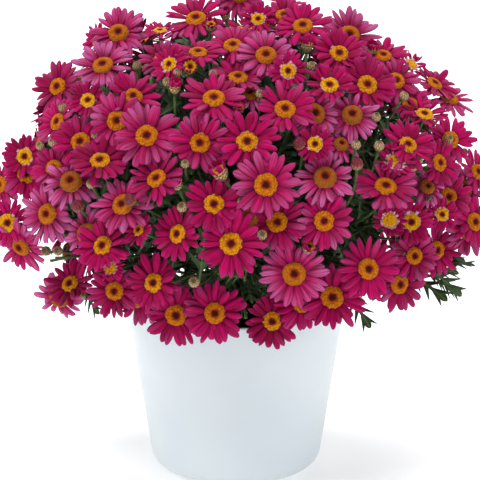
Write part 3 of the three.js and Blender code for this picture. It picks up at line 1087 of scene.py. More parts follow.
    def sections(self, width: Array, swell: Array, across: Array, turn: Array) -> tuple[Array, Array]:
        """The petals' sections, each a flat grooved arch that is rolled a little.

        Args:
            width: The width of each petal in mm.
            swell: The share of it at each section.
            across: Where the points of a section lie between its edges, at -1 and 1.
            turn: The angle of roll at each section.

        Returns:
            How far aside and how high each point lies.
        """
        grooved = np.array([0.0, 1.0, 0.0, 1.0, 0.0, 0.0, 0.0, 0.0]) * self.groove
        crown = self.arch * (1.0 - 2.0 * across**2) - grooved
        under = np.array([0, 0, 0, 0, 0, 1, 1, 1]) * self.thickness
        half = 0.5 * width[:, None] * swell
        flat = half[..., None] * across
        high = 2.0 * half[..., None] * crown - under * (0.5 + 0.5 * swell[..., None])
        return flat * np.cos(turn) - high * np.sin(turn), flat * np.sin(turn) + high * np.cos(turn)

    @staticmethod
    def spread(azimuth: Array, radial: Array, sidelong: Array, level: Array) -> Array:
        """Points from their distance out, sideways and up, turned to each petal's azimuth."""
        radial, sidelong, level = np.broadcast_arrays(radial, sidelong, level)
        cosine = np.cos(azimuth)[:, None, None]
        sine = np.sin(azimuth)[:, None, None]
        east = radial * cosine - sidelong * sine
        north = radial * sine + sidelong * cosine
        return np.stack([east, north, level], -1)

    def turned(self, lofts: Lofts, profile: Array, around: int, bumps: Array, slot: int) -> None:
        """Adds a form turned about the head's own axis.

        Args:
            lofts: The mesh that it goes into.
            profile: Radius and height of each ring as shares of the disc's radius, with the first
                and last rows on the axis.
            around: Points of each ring.
            bumps: A factor for each ring's point by which its radius swells.
            slot: The material slot.
        """
        scaled = profile * self.disc_radius
        rings = turned_rings(scaled[1:-1], around)
        rings[..., :2] *= bumps[..., None]
        marks = simple_marks(len(scaled) - 2, around, float(self.rng.uniform()), self.form.life)
        ends = np.array([[0.0, 0.0, scaled[0, 1]], [0.0, 0.0, scaled[-1, 1]]])
        placed = self.settle(ends)
        lofts.add(self.settle(rings)[None], placed[None, 0], placed[None, 1], marks, slot)

    def disc(self, lofts: Lofts) -> None:
        """Adds the disc: a dome with a dimple, whose floret tips swell it in a chequer of bumps."""
        crown = self.form.crown
        profile = np.array(
            [
                [0.0, -0.2],
                [0.88, -0.16],
                [1.0, 0.02],
                [1.03, 0.14],
                [0.95, 0.55 * crown],
                [0.8, 0.86 * crown],
                [0.62, crown],
                [0.44, 0.98 * crown],
                [0.28, 0.84 * crown],
                [0.13, 0.72 * crown],
                [0.0, 0.66 * crown],
            ]
        )
        steps = len(profile) - 2
        ring, spot = np.meshgrid(np.arange(steps), np.arange(self.disc_around), indexing="ij")
        chequer = np.where((ring + spot) % 2, 1.0, -1.0)
        bumps = 1.0 + self.floret_swell * chequer + self.rng.normal(0.0, self.floret_bumps, chequer.shape)
        self.turned(lofts, profile, self.disc_around, bumps, slot=1)

    def calyx(self, lofts: Lofts) -> None:
        """Adds the calyx: a cup of overlapping bracts that narrows to the stalk."""
        foot = -self.form.cup / self.form.disc
        profile = np.array(
            [
                [0.0, foot],
                [0.2, foot],
                [0.42, 0.82 * foot],
                [0.78, 0.55 * foot],
                [0.98, 0.3 * foot],
                [0.96, 0.12 * foot],
                [0.0, 0.1 * foot],
            ]
        )
        spot = np.arange(self.calyx_around)
        rows = np.arange(len(profile) - 2)[:, None]
        bumps = 1.0 + self.bract_swell * np.cos(np.pi * (spot + rows)) * ease(0.0, 2.0, rows)
        self.turned(lofts, profile, self.calyx_around, bumps, slot=2)

    def make(self, name: str, finishes: Finishes) -> Thing:
        """Builds the head as one piece.

        Args:
            name: The piece's name.
            finishes: The object's materials.

        Returns:
            The new object.
        """
        lofts = Lofts()
        self.petals(lofts)
        self.disc(lofts)
        self.calyx(lofts)
        cup = finishes.bud if self.head.age is Age.OPENING else finishes.bracts
        return lofts.make(name, [finishes.petal, finishes.disc, cup])


@dataclass
class Bud:
    """A closed round bud with overlapping scales.

    tone runs from 0 for a fresh bud to 1 for a dry one, and life from 0 to 1 as it shows colour.
    """

    bud: Head
    rng: np.random.Generator
    around: int = 12
    swell: float = 0.035
    highest_tone: float = 0.4
    dry_tone: float = 0.5
    closed_life: float = 0.12

    def add(self, lofts: Lofts) -> None:
        """Adds the bud: a globe drawn in to its stalk, its scales a chequer of slight swells."""
        radius = 0.5 * self.bud.size
        profile = radius * np.array(
            [[0.42, -1.0], [0.8, -0.72], [1.0, -0.2], [0.97, 0.3], [0.72, 0.74], [0.36, 0.96]]
        )
        rings = turned_rings(profile, self.around)
        ring, spot = np.meshgrid(np.arange(len(profile)), np.arange(self.around), indexing="ij")
        rings[..., :2] *= (1.0 + self.swell * np.where((ring + spot) % 2, 1.0, -1.0))[..., None]
        side, other = frame_across(self.bud.normal)
        basis = np.stack([side, other, self.bud.normal])
        ends = np.array([[0.0, 0.0, -radius], [0.0, 0.0, 0.9 * radius]]) @ basis + self.bud.place
        tone = float(self.rng.uniform(0.0, self.highest_tone))
        tone += self.dry_tone * (self.bud.age is Age.FADED)
        life = 1.0 if self.bud.age is Age.OPENING else self.closed_life
        marks = simple_marks(len(profile), self.around, tone, life)
        lofts.add((rings @ basis + self.bud.place)[None], ends[None, 0], ends[None, 1], marks)


@dataclass(frozen=True)
class Leaves:
    """A batch of pinnately lobed leaves, each from a place, along a direction, facing up.

    Its sizes are shares of the leaf's length, but for the thickness, which is in mm.
    """

    places: Array
    directions: Array
    facings: Array
    lengths: Array
    tones: Array
    droop: float = 0.5
    fold: float = 0.3
    half_width: float = 0.25
    rachis: float = 0.035
    lobes: int = 3
    blade_start: float = 0.24
    blade_length: float = 0.62
    sweep: float = 0.24
    full_mark_width: float = 0.1
    thickness: float = 0.4

    def outline(self) -> Array:
        """Rows of share along, half-width and forward sweep, as shares of the leaf's length.

        A narrow stalk comes first. Each lobe adds a sinus, the two corners of its tip, swept
        forward, and the next sinus; the last lobe ends the leaf.
        """
        rows = [(0.0, 0.02, 0.0), (0.22, 0.022, 0.0)]
        pitch = self.blade_length / self.lobes
        for lobe in range(self.lobes):
            foot = self.blade_start + lobe * pitch
            reach = self.half_width * (0.62 + 0.38 * np.sin(np.pi * (lobe + 0.8) / self.lobes))
            rows += [
                (foot + 0.12 * pitch, self.rachis, 0.0),
                (foot + 0.36 * pitch, 0.92 * reach, self.sweep),
                (foot + 0.60 * pitch, reach, self.sweep),
                (foot + 0.82 * pitch, self.rachis, 0.0),
            ]
        return np.array(rows + [(0.90, 0.075, 0.02), (0.97, 0.045, 0.0)])

    def surface(self, along: Array, side: Array) -> Array:
        """Points of the leaves' upper faces.

        A leaf's middle line starts along its direction and bends down with the square of the share
        along it, and its two halves fold up from the midrib in proportion to their width.

        Args:
            along: Shares of the length along the midrib, in any shape of two dimensions.
            side: Shares of the length to its left, in the same shape.

        Returns:
            Points of shape (leaves, ..., 3).
        """
        ahead = unit(self.directions)
        left = unit(np.cross(self.facings, ahead))
        upward = np.cross(ahead, left)
        lift = self.fold * np.abs(side) - 0.5 * self.droop * along**2
        scale = self.lengths[:, None, None, None]
        return self.places[:, None, None] + scale * (
            along[..., None] * ahead[:, None, None]
            + side[..., None] * left[:, None, None]
            + lift[..., None] * upward[:, None, None]
        )

    def samples(self) -> Array:
        """A few points of each leaf: its foot, middle, tip and the tips of its widest lobes."""
        along = np.array([[0.1, 0.3, 0.5, 0.7, 0.85, 1.0, 0.45, 0.45, 0.65, 0.65, 0.9, 0.9]])
        side = np.array([[0.0, 0.0, 0.0, 0.0, 0.0, 0.0, 1.0, -1.0, 1.0, -1.0, 0.7, -0.7]])
        side = side * self.half_width
        return self.surface(along, side)[:, 0]

    def some(self, chosen: Array) -> "Leaves":
        """The leaves whose entry in chosen is true."""
        return replace(
            self,
            places=self.places[chosen],
            directions=self.directions[chosen],
            facings=self.facings[chosen],
            lengths=self.lengths[chosen],
            tones=self.tones[chosen],
        )

    def add(self, lofts: Lofts) -> None:
        """Adds the leaves, each a flat loft whose sections are left edge, rib, right edge, back."""
        rows = self.outline()
        share = rows[:, 0]
        across = np.array([1.0, 0.0, -1.0, 0.0])
        side = rows[:, 1, None] * across
        along = share[:, None] + rows[:, 2, None] * np.abs(across)
        rings = self.surface(along, side)
        below = np.array([0.0, 0.0, 0.0, 1.0]) * self.thickness
        rings = rings - below[:, None] * unit(self.facings)[:, None, None]
        tips = self.surface(np.array([[1.0]]), np.array([[0.0]]))[:, 0, 0]
        shape = rings.shape[:3]
        spread = 0.5 * across * np.minimum(1.0, rows[:, 1, None] / self.full_mark_width)
        marks = spread_marks(shape, share[:, None], MIDRIB + spread, self.tones[:, None, None], 0.0)
        lofts.add(rings, self.places, tips, marks)


@dataclass(frozen=True)
class Cover:
    """The roof of flowers: leaves stay inside the mound, and none passes through a head."""

    heads: list[Head]
    mound: Mound
    level: float = 0.93
    clearance: float = 4.0
    height: float = 60.0

    def clear(self, samples: Array) -> Array:
        """Tells which leaves lie before no head near them.

        Args:
            samples: Points of each leaf, shape (leaves, points, 3).

        Returns:
            One truth value for each leaf.
        """
        places = np.stack([head.place for head in self.heads])
        normals = np.stack([head.normal for head in self.heads])
        radii = np.array([0.5 * head.size for head in self.heads])
        offsets = samples[:, :, None] - places
        above = (offsets * normals).sum(-1)
        aside = np.linalg.norm(offsets - above[..., None] * normals, axis=-1)
        covering = (aside < radii) & (above > -self.clearance) & (above < self.height)
        return ~covering.any((1, 2))

    def shelters(self, samples: Array) -> Array:
        """Tells which leaves lie wholly inside the mound and before no head near them."""
        return (self.mound.level(samples) < self.level).all(1) & self.clear(samples)


@dataclass(frozen=True)
class Skeleton:
    """Where the branches run: seven side branches and a middle leader on one woody stem."""

    side_branches: int = 7
    stem_radius: float = 7.0
    stem_top: float = 156.0
    low_start: float = 137.0
    high_start: float = 147.0
    fork_radius: float = 62.0
    fork_height: float = 196.0
    elbow_radius: float = 37.0
    shoulder_radius: float = 53.0
    leader_fork: float = 236.0
    leader_reach: float = 78.0
    first_stalk: float = 0.7
    last_stalk: float = 0.97
    pull: float = 0.35
    gap: float = 0.3
    drop: float = 125.0
    first_turn: float = 0.25
    limb_steps: int = 4

    def azimuth(self, index: int) -> float:
        """The azimuth at which a side branch leaves the stem."""
        return (index + self.first_turn) / self.side_branches * 2.0 * np.pi

    def limb(self, index: int) -> Bezier:
        """A side branch out from the stem and up to its fork, or the straight leader."""
        if index == self.side_branches:
            heights = np.linspace(self.stem_top + self.gap, self.leader_fork, self.limb_steps)
            return Bezier(heights[:, None] * UP)
        start = self.high_start if index % 2 else self.low_start
        face = self.stem_radius * np.cos(np.pi / (2 * self.side_branches)) + self.gap
        radii = np.array([face, self.elbow_radius, self.shoulder_radius, self.fork_radius])
        heights = np.array([start, start, 0.5 * (start + self.fork_height), self.fork_height])
        out = np.array([np.cos(self.azimuth(index)), np.sin(self.azimuth(index)), 0.0])
        return Bezier(radii[:, None] * out + heights[:, None] * UP)

    def carrier(self, place: Array, middle: float) -> int:
        """The branch that carries a place: the leader near the top, else the nearest azimuth."""
        if np.hypot(place[0], place[1]) < self.leader_reach and place[2] > middle:
            return self.side_branches
        turn = np.arctan2(place[1], place[0]) / (2.0 * np.pi)
        return int(np.floor(turn * self.side_branches - self.first_turn + 0.5)) % self.side_branches

    def stalk(self, index: int, foot: Array, normal: Array) -> Bezier:
        """A stalk from inside a branch to the foot of a head, which it meets squarely."""
        rise = np.clip((foot[2] - self.fork_height) / self.drop, -1.0, 1.0)
        share = self.first_stalk + (self.last_stalk - self.first_stalk) * (0.5 + 0.5 * rise)
        origin = self.limb(index).at(share)
        reach = self.pull * np.linalg.norm(foot - origin)
        outward = unit(foot - origin)
        return Bezier(np.stack([origin, origin + outward * reach, foot - normal * reach, foot]))


@dataclass
class Branch:
    """One branch with all its stalks and leafy shoots, and the leaves along them."""

    index: int
    skeleton: Skeleton
    rng: np.random.Generator
    limb_radius: float = 2.4
    stalk_radius: float = 1.15
    tip_radius: float = 0.95
    limb_end: float = 0.85
    limb_steps: int = 16
    limb_around: int = 10
    limb_tone: float = 0.8
    age_at_foot: float = 0.3
    stalk_steps: int = 12
    stalk_around: int = 7
    flare: float = 1.25
    leaf_rise: float = 0.1
    leaf_tilt: float = 0.3
    leaf_spread: float = 0.15
    per_stalk: int = 11
    leaf_lengths: Passage = (36.0, 56.0)
    leafy_from: float = 0.2
    leafy_to: float = 0.9
    leafy_spread: float = 0.03
    stalk_lean: float = 0.8
    shoot_lean: float = 2.0
    light_spread: float = 0.3
    shoot_shares: Passage = (0.86, 0.91, 0.96, 1.0)
    shoot_lengths: Passage = (1.0, 0.95, 0.9, 0.8)
    stalks: list[Bezier] = field(default_factory=list)
    shoots: list[tuple[Bezier, float]] = field(default_factory=list)

    def wood(self, name: str, finishes: Finishes) -> Thing:
        """Builds the limb, its stalks and its shoots, each tapering towards its tip."""
        lofts = Lofts()
        limb = self.skeleton.limb(self.index)
        radii = self.limb_radius * np.linspace(1.0, self.limb_end, self.limb_steps)
        marks = simple_marks(self.limb_steps, self.limb_around, self.limb_tone)
        marks[..., 0] *= self.age_at_foot
        lofts.add(*limb.tube(radii, self.limb_around), marks)
        for stalk in self.stalks + [shoot for shoot, _ in self.shoots]:
            radii = np.linspace(self.stalk_radius, self.tip_radius, self.stalk_steps)
            radii[-1] *= self.flare
            marks = simple_marks(self.stalk_steps, self.stalk_around, float(self.rng.uniform()))
            lofts.add(*stalk.tube(radii, self.stalk_around), marks)
        return lofts.make(name, [finishes.green])

    def leaves_round(self, stalk: Bezier, shares: Array, lengths: Array, forward: float) -> Leaves:
        """Leaves round a stalk, at the golden angle from one to the next, facing along it.

        Args:
            stalk: The stalk that carries them.
            shares: Where along it each starts.
            lengths: The length of each in mm.
            forward: How far they lean along the stalk.

        Returns:
            The leaves.
        """
        count = len(shares)
        travel = stalk.along(shares)
        side, other = frame_across(unit(stalk.points[3] - stalk.points[0]))
        turn = GOLDEN_ANGLE * np.arange(count) + self.rng.uniform(0.0, 2.0 * np.pi)
        spoke = side * np.cos(turn)[:, None] + other * np.sin(turn)[:, None]
        spoke = unit(spoke - travel * (spoke * travel).sum(1)[:, None])
        ahead = unit(forward * travel + spoke + self.leaf_rise * UP)
        facing = unit(travel + self.leaf_tilt * UP + self.rng.normal(0.0, self.leaf_spread, (count, 3)))
        tones = self.rng.uniform(0.0, 1.0, count)
        feet = stalk.at(shares) + spoke * 0.5 * self.stalk_radius
        return Leaves(feet, ahead, facing, lengths, tones)

    def foliage(self, name: str, finishes: Finishes, cover: Cover, front: Cover) -> Thing:
        """Builds the leaves along the stalks and round the tips of the shoots.

        Of the leaves tried on a stalk only those stay that the roof of flowers shelters. A shoot's
        leaves may show, and turn their faces towards the light from the front.

        Args:
            name: The piece's name.
            finishes: The object's materials.
            cover: The roof of flowers.
            front: The part of that roof which faces the viewer; shoots stay clear of it.

        Returns:
            The new object.
        """
        lofts = Lofts()
        for stalk in self.stalks:
            shares = np.linspace(self.leafy_from, self.leafy_to, self.per_stalk)
            shares = shares + self.rng.normal(0.0, self.leafy_spread, self.per_stalk)
            lengths = self.rng.uniform(*self.leaf_lengths, self.per_stalk)
            leaves = self.leaves_round(stalk, shares, lengths, self.stalk_lean)
            sheltered = cover.shelters(leaves.samples())
            if sheltered.any():
                leaves.some(sheltered).add(lofts)
        for shoot, length in self.shoots:
            shares = np.array(self.shoot_shares)
            lengths = length * np.array(self.shoot_lengths)
            leaves = self.leaves_round(shoot, shares, lengths, self.shoot_lean)
            facings = TOWARDS_LIGHT + self.rng.normal(0.0, self.light_spread, leaves.facings.shape)
            leaves = replace(leaves, facings=unit(facings))
            clear = front.clear(leaves.samples())
            if clear.any():
                leaves.some(clear).add(lofts)
        return lofts.make(name, [finishes.leaf])


@dataclass(frozen=True)
class Pot:
    """The tapered pot: a round-cornered base, a straight wall and a small rounded lip."""

    rim_radius: float = 85.0
    base_radius: float = 65.0
    height: float = 132.0
    wall: float = 2.4
    corner: float = 14.0
    drain_holes: int = 5
    drain_radius: float = 4.5
    drain_circle: float = 34.0
    around: int = 192
    wall_rings: int = 14
    lip_rings: int = 9
    corner_rings: int = 12
    floor_rings: Passage = (2.0, 20.0, 44.0)
    above_corner: float = 4.0
    below_lip: float = 2.0
    drill_reach: float = 5.0
    drill_around: int = 32
    mark: float = 0.5

    @property
    def taper(self) -> float:
        """How much the wall's radius grows for each mm of height."""
        return (self.rim_radius - self.base_radius) / self.height

    def corner_arc(self, inset: float, steps: int) -> Array:
        """The round corner between base and wall, set in from the outer face by inset."""
        lean = np.arctan(self.taper)
        centre = self.base_radius + self.taper * self.corner - self.corner / np.cos(lean)
        angles = np.linspace(-np.pi / 2, -lean, steps)
        radius = self.corner - inset
        return np.stack(
            [centre + radius * np.cos(angles), self.corner + radius * np.sin(angles)], -1
        )

    def wall_radius(self, heights: Array, inset: float) -> Array:
        """The wall's radius at heights, set in from the outer face by inset."""
        return self.base_radius + self.taper * heights - inset / np.cos(np.arctan(self.taper))

    def profile(self) -> Array:
        """Radius and height from the base's middle, up outside, over the lip and down inside."""
        heights = np.linspace(self.corner + self.above_corner, self.height - self.below_lip, self.wall_rings)
        outside = np.stack([self.wall_radius(heights, 0.0), heights], -1)
        inside = np.stack([self.wall_radius(heights, self.wall), heights], -1)[::-1]
        half = 0.5 * self.wall
        angles = np.linspace(0.0, np.pi, self.lip_rings)
        middle = self.wall_radius(np.array(self.height - half), half)
        lip = np.stack([middle + half * np.cos(angles), self.height - half + half * np.sin(angles)], -1)
        flat = np.array([[radius, 0.0] for radius in self.floor_rings])
        floor = flat[::-1] + [0.0, self.wall]
        foot = self.corner_arc(0.0, self.corner_rings)
        inner_foot = self.corner_arc(self.wall, self.corner_rings)[::-1]
        return np.concatenate([flat, foot, outside, lip, inside, inner_foot, floor])

    def make(self, finishes: Finishes) -> Thing:
        """Builds the pot and cuts its drain holes with a Boolean modifier."""
        lofts = Lofts()
        rings = turned_rings(self.profile(), self.around)
        marks = simple_marks(len(rings), self.around, self.mark)
        lofts.add(rings[None], np.zeros((1, 3)), self.wall * UP[None], marks)
        pot = lofts.make("white_pot", [finishes.pot])
        drills = Lofts()
        angles = ring_angles(self.drain_holes)
        middles = self.drain_circle * np.stack([np.cos(angles), np.sin(angles), 0 * angles], -1)
        low, high = [self.drain_radius, -self.drill_reach], [self.drain_radius, self.drill_reach]
        bore = turned_rings(np.array([low, high]), self.drill_around)
        holes = middles[:, None, None] + bore
        reach = self.drill_reach * UP
        marks = simple_marks(2, self.drill_around, self.mark)
        drills.add(holes, middles - reach, middles + reach, marks)
        drill = drills.make("drill", [finishes.pot])
        cut = pot.modifiers.new("drain_holes", "BOOLEAN")
        cut.operation = "DIFFERENCE"
        cut.object = drill
        cut.solver = "EXACT"
        bpy.context.view_layer.update()
        graph = bpy.context.evaluated_depsgraph_get()
        cut_mesh = bpy.data.meshes.new_from_object(pot.evaluated_get(graph))
        pot.modifiers.clear()
        pot.data = cut_mesh
        bpy.data.objects.remove(drill)
        return pot


@dataclass(frozen=True)
class Soil:
    """The block of potting soil, its open top crumbly and slightly raised round the stem.

    beside and behind say how far a lump carries on to its neighbours.
    """

    pot: Pot
    rng: np.random.Generator
    edge_height: float = 119.0
    middle_height: float = 123.0
    gap: float = 0.3
    socket_radius: float = 7.3
    socket_depth: float = 28.0
    around: int = 144
    crumb: float = 0.9
    corner_rings: int = 8
    wall_rings: int = 6
    top_rings: int = 30
    above_corner: float = 6.0
    below_edge: float = 1.0
    edge_bevel: float = 1.5
    floor_ring: float = 20.0
    socket_foot: float = 2.0
    beside: float = 0.6
    behind: float = 0.5
    mark: float = 0.5

    def make(self, finishes: Finishes) -> Thing:
        """Builds the block: the pot's inner form, with small random lumps on its open top."""
        inset = self.pot.wall + self.gap
        arc = self.pot.corner_arc(inset, self.corner_rings)
        low, high = self.pot.corner + self.above_corner, self.edge_height - self.below_edge
        heights = np.linspace(low, high, self.wall_rings)
        wall = np.stack([self.pot.wall_radius(heights, inset), heights], -1)
        edge = self.pot.wall_radius(self.edge_height, inset) - self.edge_bevel
        radii = np.linspace(edge, self.socket_radius, self.top_rings)
        level = np.interp(radii, [self.socket_radius, radii[0]], [self.middle_height, self.edge_height])
        top = np.stack([radii, level], -1)
        low = self.middle_height - self.socket_depth
        socket = np.array([[self.socket_radius, low + self.socket_foot], [self.socket_radius, low]])
        profile = np.concatenate([[[self.floor_ring, inset]], arc, wall, top, socket])
        rings = turned_rings(profile, self.around)
        lumps = self.rng.normal(0.0, self.crumb, (len(radii), self.around))
        lumps = lumps + self.beside * np.roll(lumps, 1, 1) + self.behind * np.roll(lumps, 1, 0)
        lumps[0] = 0.0
        lumps[-1] = 0.0
        first_top = 1 + len(arc) + len(wall)
        rings[first_top : first_top + len(radii), :, 2] += lumps - self.crumb
        lofts = Lofts()
        marks = simple_marks(len(rings), self.around, self.mark)
        lofts.add(rings[None], inset * UP[None], low * UP[None], marks)
        return lofts.make("potting_soil_block", [finishes.soil])


@dataclass(frozen=True)
class WoodyStem:
    """The short old stem that stands in the soil and carries the branches."""

    skeleton: Skeleton
    rng: np.random.Generator
    foot: float = 95.3
    around: int = 28
    rings: int = 24
    bark: float = 0.55
    shoulder: float = 2.0
    cap: tuple[tuple[float, float], ...] = ((-0.8, 1.3), (-2.6, 1.9))
    ridges: int = 9
    ridge_height: float = 0.02
    ridge_spread: float = 0.03
    knot_spread: float = 0.012
    mark: float = 0.5

    def make(self, finishes: Finishes) -> Thing:
        """Builds the stem: a column with lengthwise ridges, flat below and rounded on top."""
        heights = np.linspace(self.foot, self.skeleton.stem_top - self.shoulder, self.rings)
        radius = self.skeleton.stem_radius - self.bark
        profile = np.stack([np.full_like(heights, radius), heights], -1)
        cap = np.array([radius, heights[-1]]) + self.cap
        rings = turned_rings(np.concatenate([profile, cap]), self.around)
        ridges = self.rng.normal(0.0, self.ridge_spread, self.around)
        ridges += self.ridge_height * np.cos(self.ridges * ring_angles(self.around))
        knots = self.rng.normal(0.0, self.knot_spread, rings.shape[:2])
        rings[..., :2] *= (1.0 + ridges + knots)[..., None]
        lofts = Lofts()
        top = self.skeleton.stem_top * UP[None]
        marks = simple_marks(len(rings), self.around, self.mark)
        lofts.add(rings[None], self.foot * UP[None], top, marks)
        return lofts.make("old_woody_stem", [finishes.bark])


@dataclass(frozen=True)
class Studio:
    """A pale floor that sweeps up behind the object, and soft light from large lamps."""

    half_width: float = 3000.0
    front: float = -2600.0
    back: float = 2200.0
    sweep: float = 600.0
    top: float = 3000.0
    sweep_steps: int = 17
    columns: int = 9
    world: float = 0.21
    world_colour: str = "#F8F9FF"

    def floor(self) -> None:
        """Builds the floor: a flat run, a quarter circle and an upright sheet."""
        angles = np.linspace(0.0, np.pi / 2, self.sweep_steps)
        depth = np.concatenate([[self.front], self.back + self.sweep * np.sin(angles)])
        height = np.concatenate([[0.0], self.sweep * (1.0 - np.cos(angles))])
        depth = np.append(depth, depth[-1])
        height = np.append(height, self.top)
        across = np.linspace(-self.half_width, self.half_width, self.columns)
        grid = np.empty((len(depth), len(across), 3))
        grid[..., 0] = across
        grid[..., 1] = depth[:, None]
        grid[..., 2] = height[:, None]
        steps, wide = grid.shape[:2]
        low = (np.arange(steps - 1)[:, None] * wide + np.arange(wide - 1)).ravel()
        quads = np.stack([low, low + 1, low + wide + 1, low + wide], -1)
        mesh = bpy.data.meshes.new("studio_floor")
        mesh.from_pydata((grid.reshape(-1, 3) * METRES).tolist(), [], quads.tolist())
        mesh.polygons.foreach_set("use_smooth", np.ones(len(quads), bool))
        mesh.materials.append(StudioPaper().build())
        floor = bpy.data.objects.new("studio_floor", mesh)
        bpy.context.scene.collection.objects.link(floor)

    def lamp(self, name: str, place: Passage, aim: Passage, size: float, power: float) -> None:
        """Adds a soft square lamp.

        Args:
            name: The lamp's name.
            place: Where it stands, in metres.
            aim: The place that it points at, in metres.
            size: The length of its side, in metres.
            power: Its power in watts.
        """
        data = bpy.data.lights.new(name, "AREA")
        data.size = size
        data.energy = power
        lamp = bpy.data.objects.new(name, data)
        lamp.location = place
        towards = Vector(aim) - Vector(place)
        lamp.rotation_euler = towards.to_track_quat("-Z", "Y").to_euler()
        bpy.context.scene.collection.objects.link(lamp)

    def make(self) -> None:
        """Builds the floor, the lamps and the even light of the room."""
        self.floor()
        self.lamp("key_lamp", place=(-0.4, -1.15, 2.0), aim=(0.0, 0.0, 0.25), size=0.6, power=22.0)
        self.lamp("left_lamp", place=(-1.5, -0.1, 0.5), aim=(0.0, 0.0, 0.05), size=1.3, power=7.5)
        self.lamp("right_lamp", place=(1.5, -0.1, 0.5), aim=(0.0, 0.0, 0.05), size=1.3, power=7.5)
        self.lamp("front_lamp", place=(0.0, -1.8, 0.5), aim=(0.0, 0.0, 0.15), size=1.0, power=6.0)
        self.lamp("sweep_lamp", place=(0.0, 0.9, 2.4), aim=(0.0, 2.2, 0.6), size=1.5, power=60.0)
        world = bpy.data.worlds.new("studio_world")
        world.use_nodes = True
        background = world.node_tree.nodes["Background"]
        background.inputs["Color"].default_value = linear(self.world_colour)
        background.inputs["Strength"].default_value = self.world
        bpy.context.scene.world = world
        bpy.context.scene.view_settings.view_transform = "Standard"


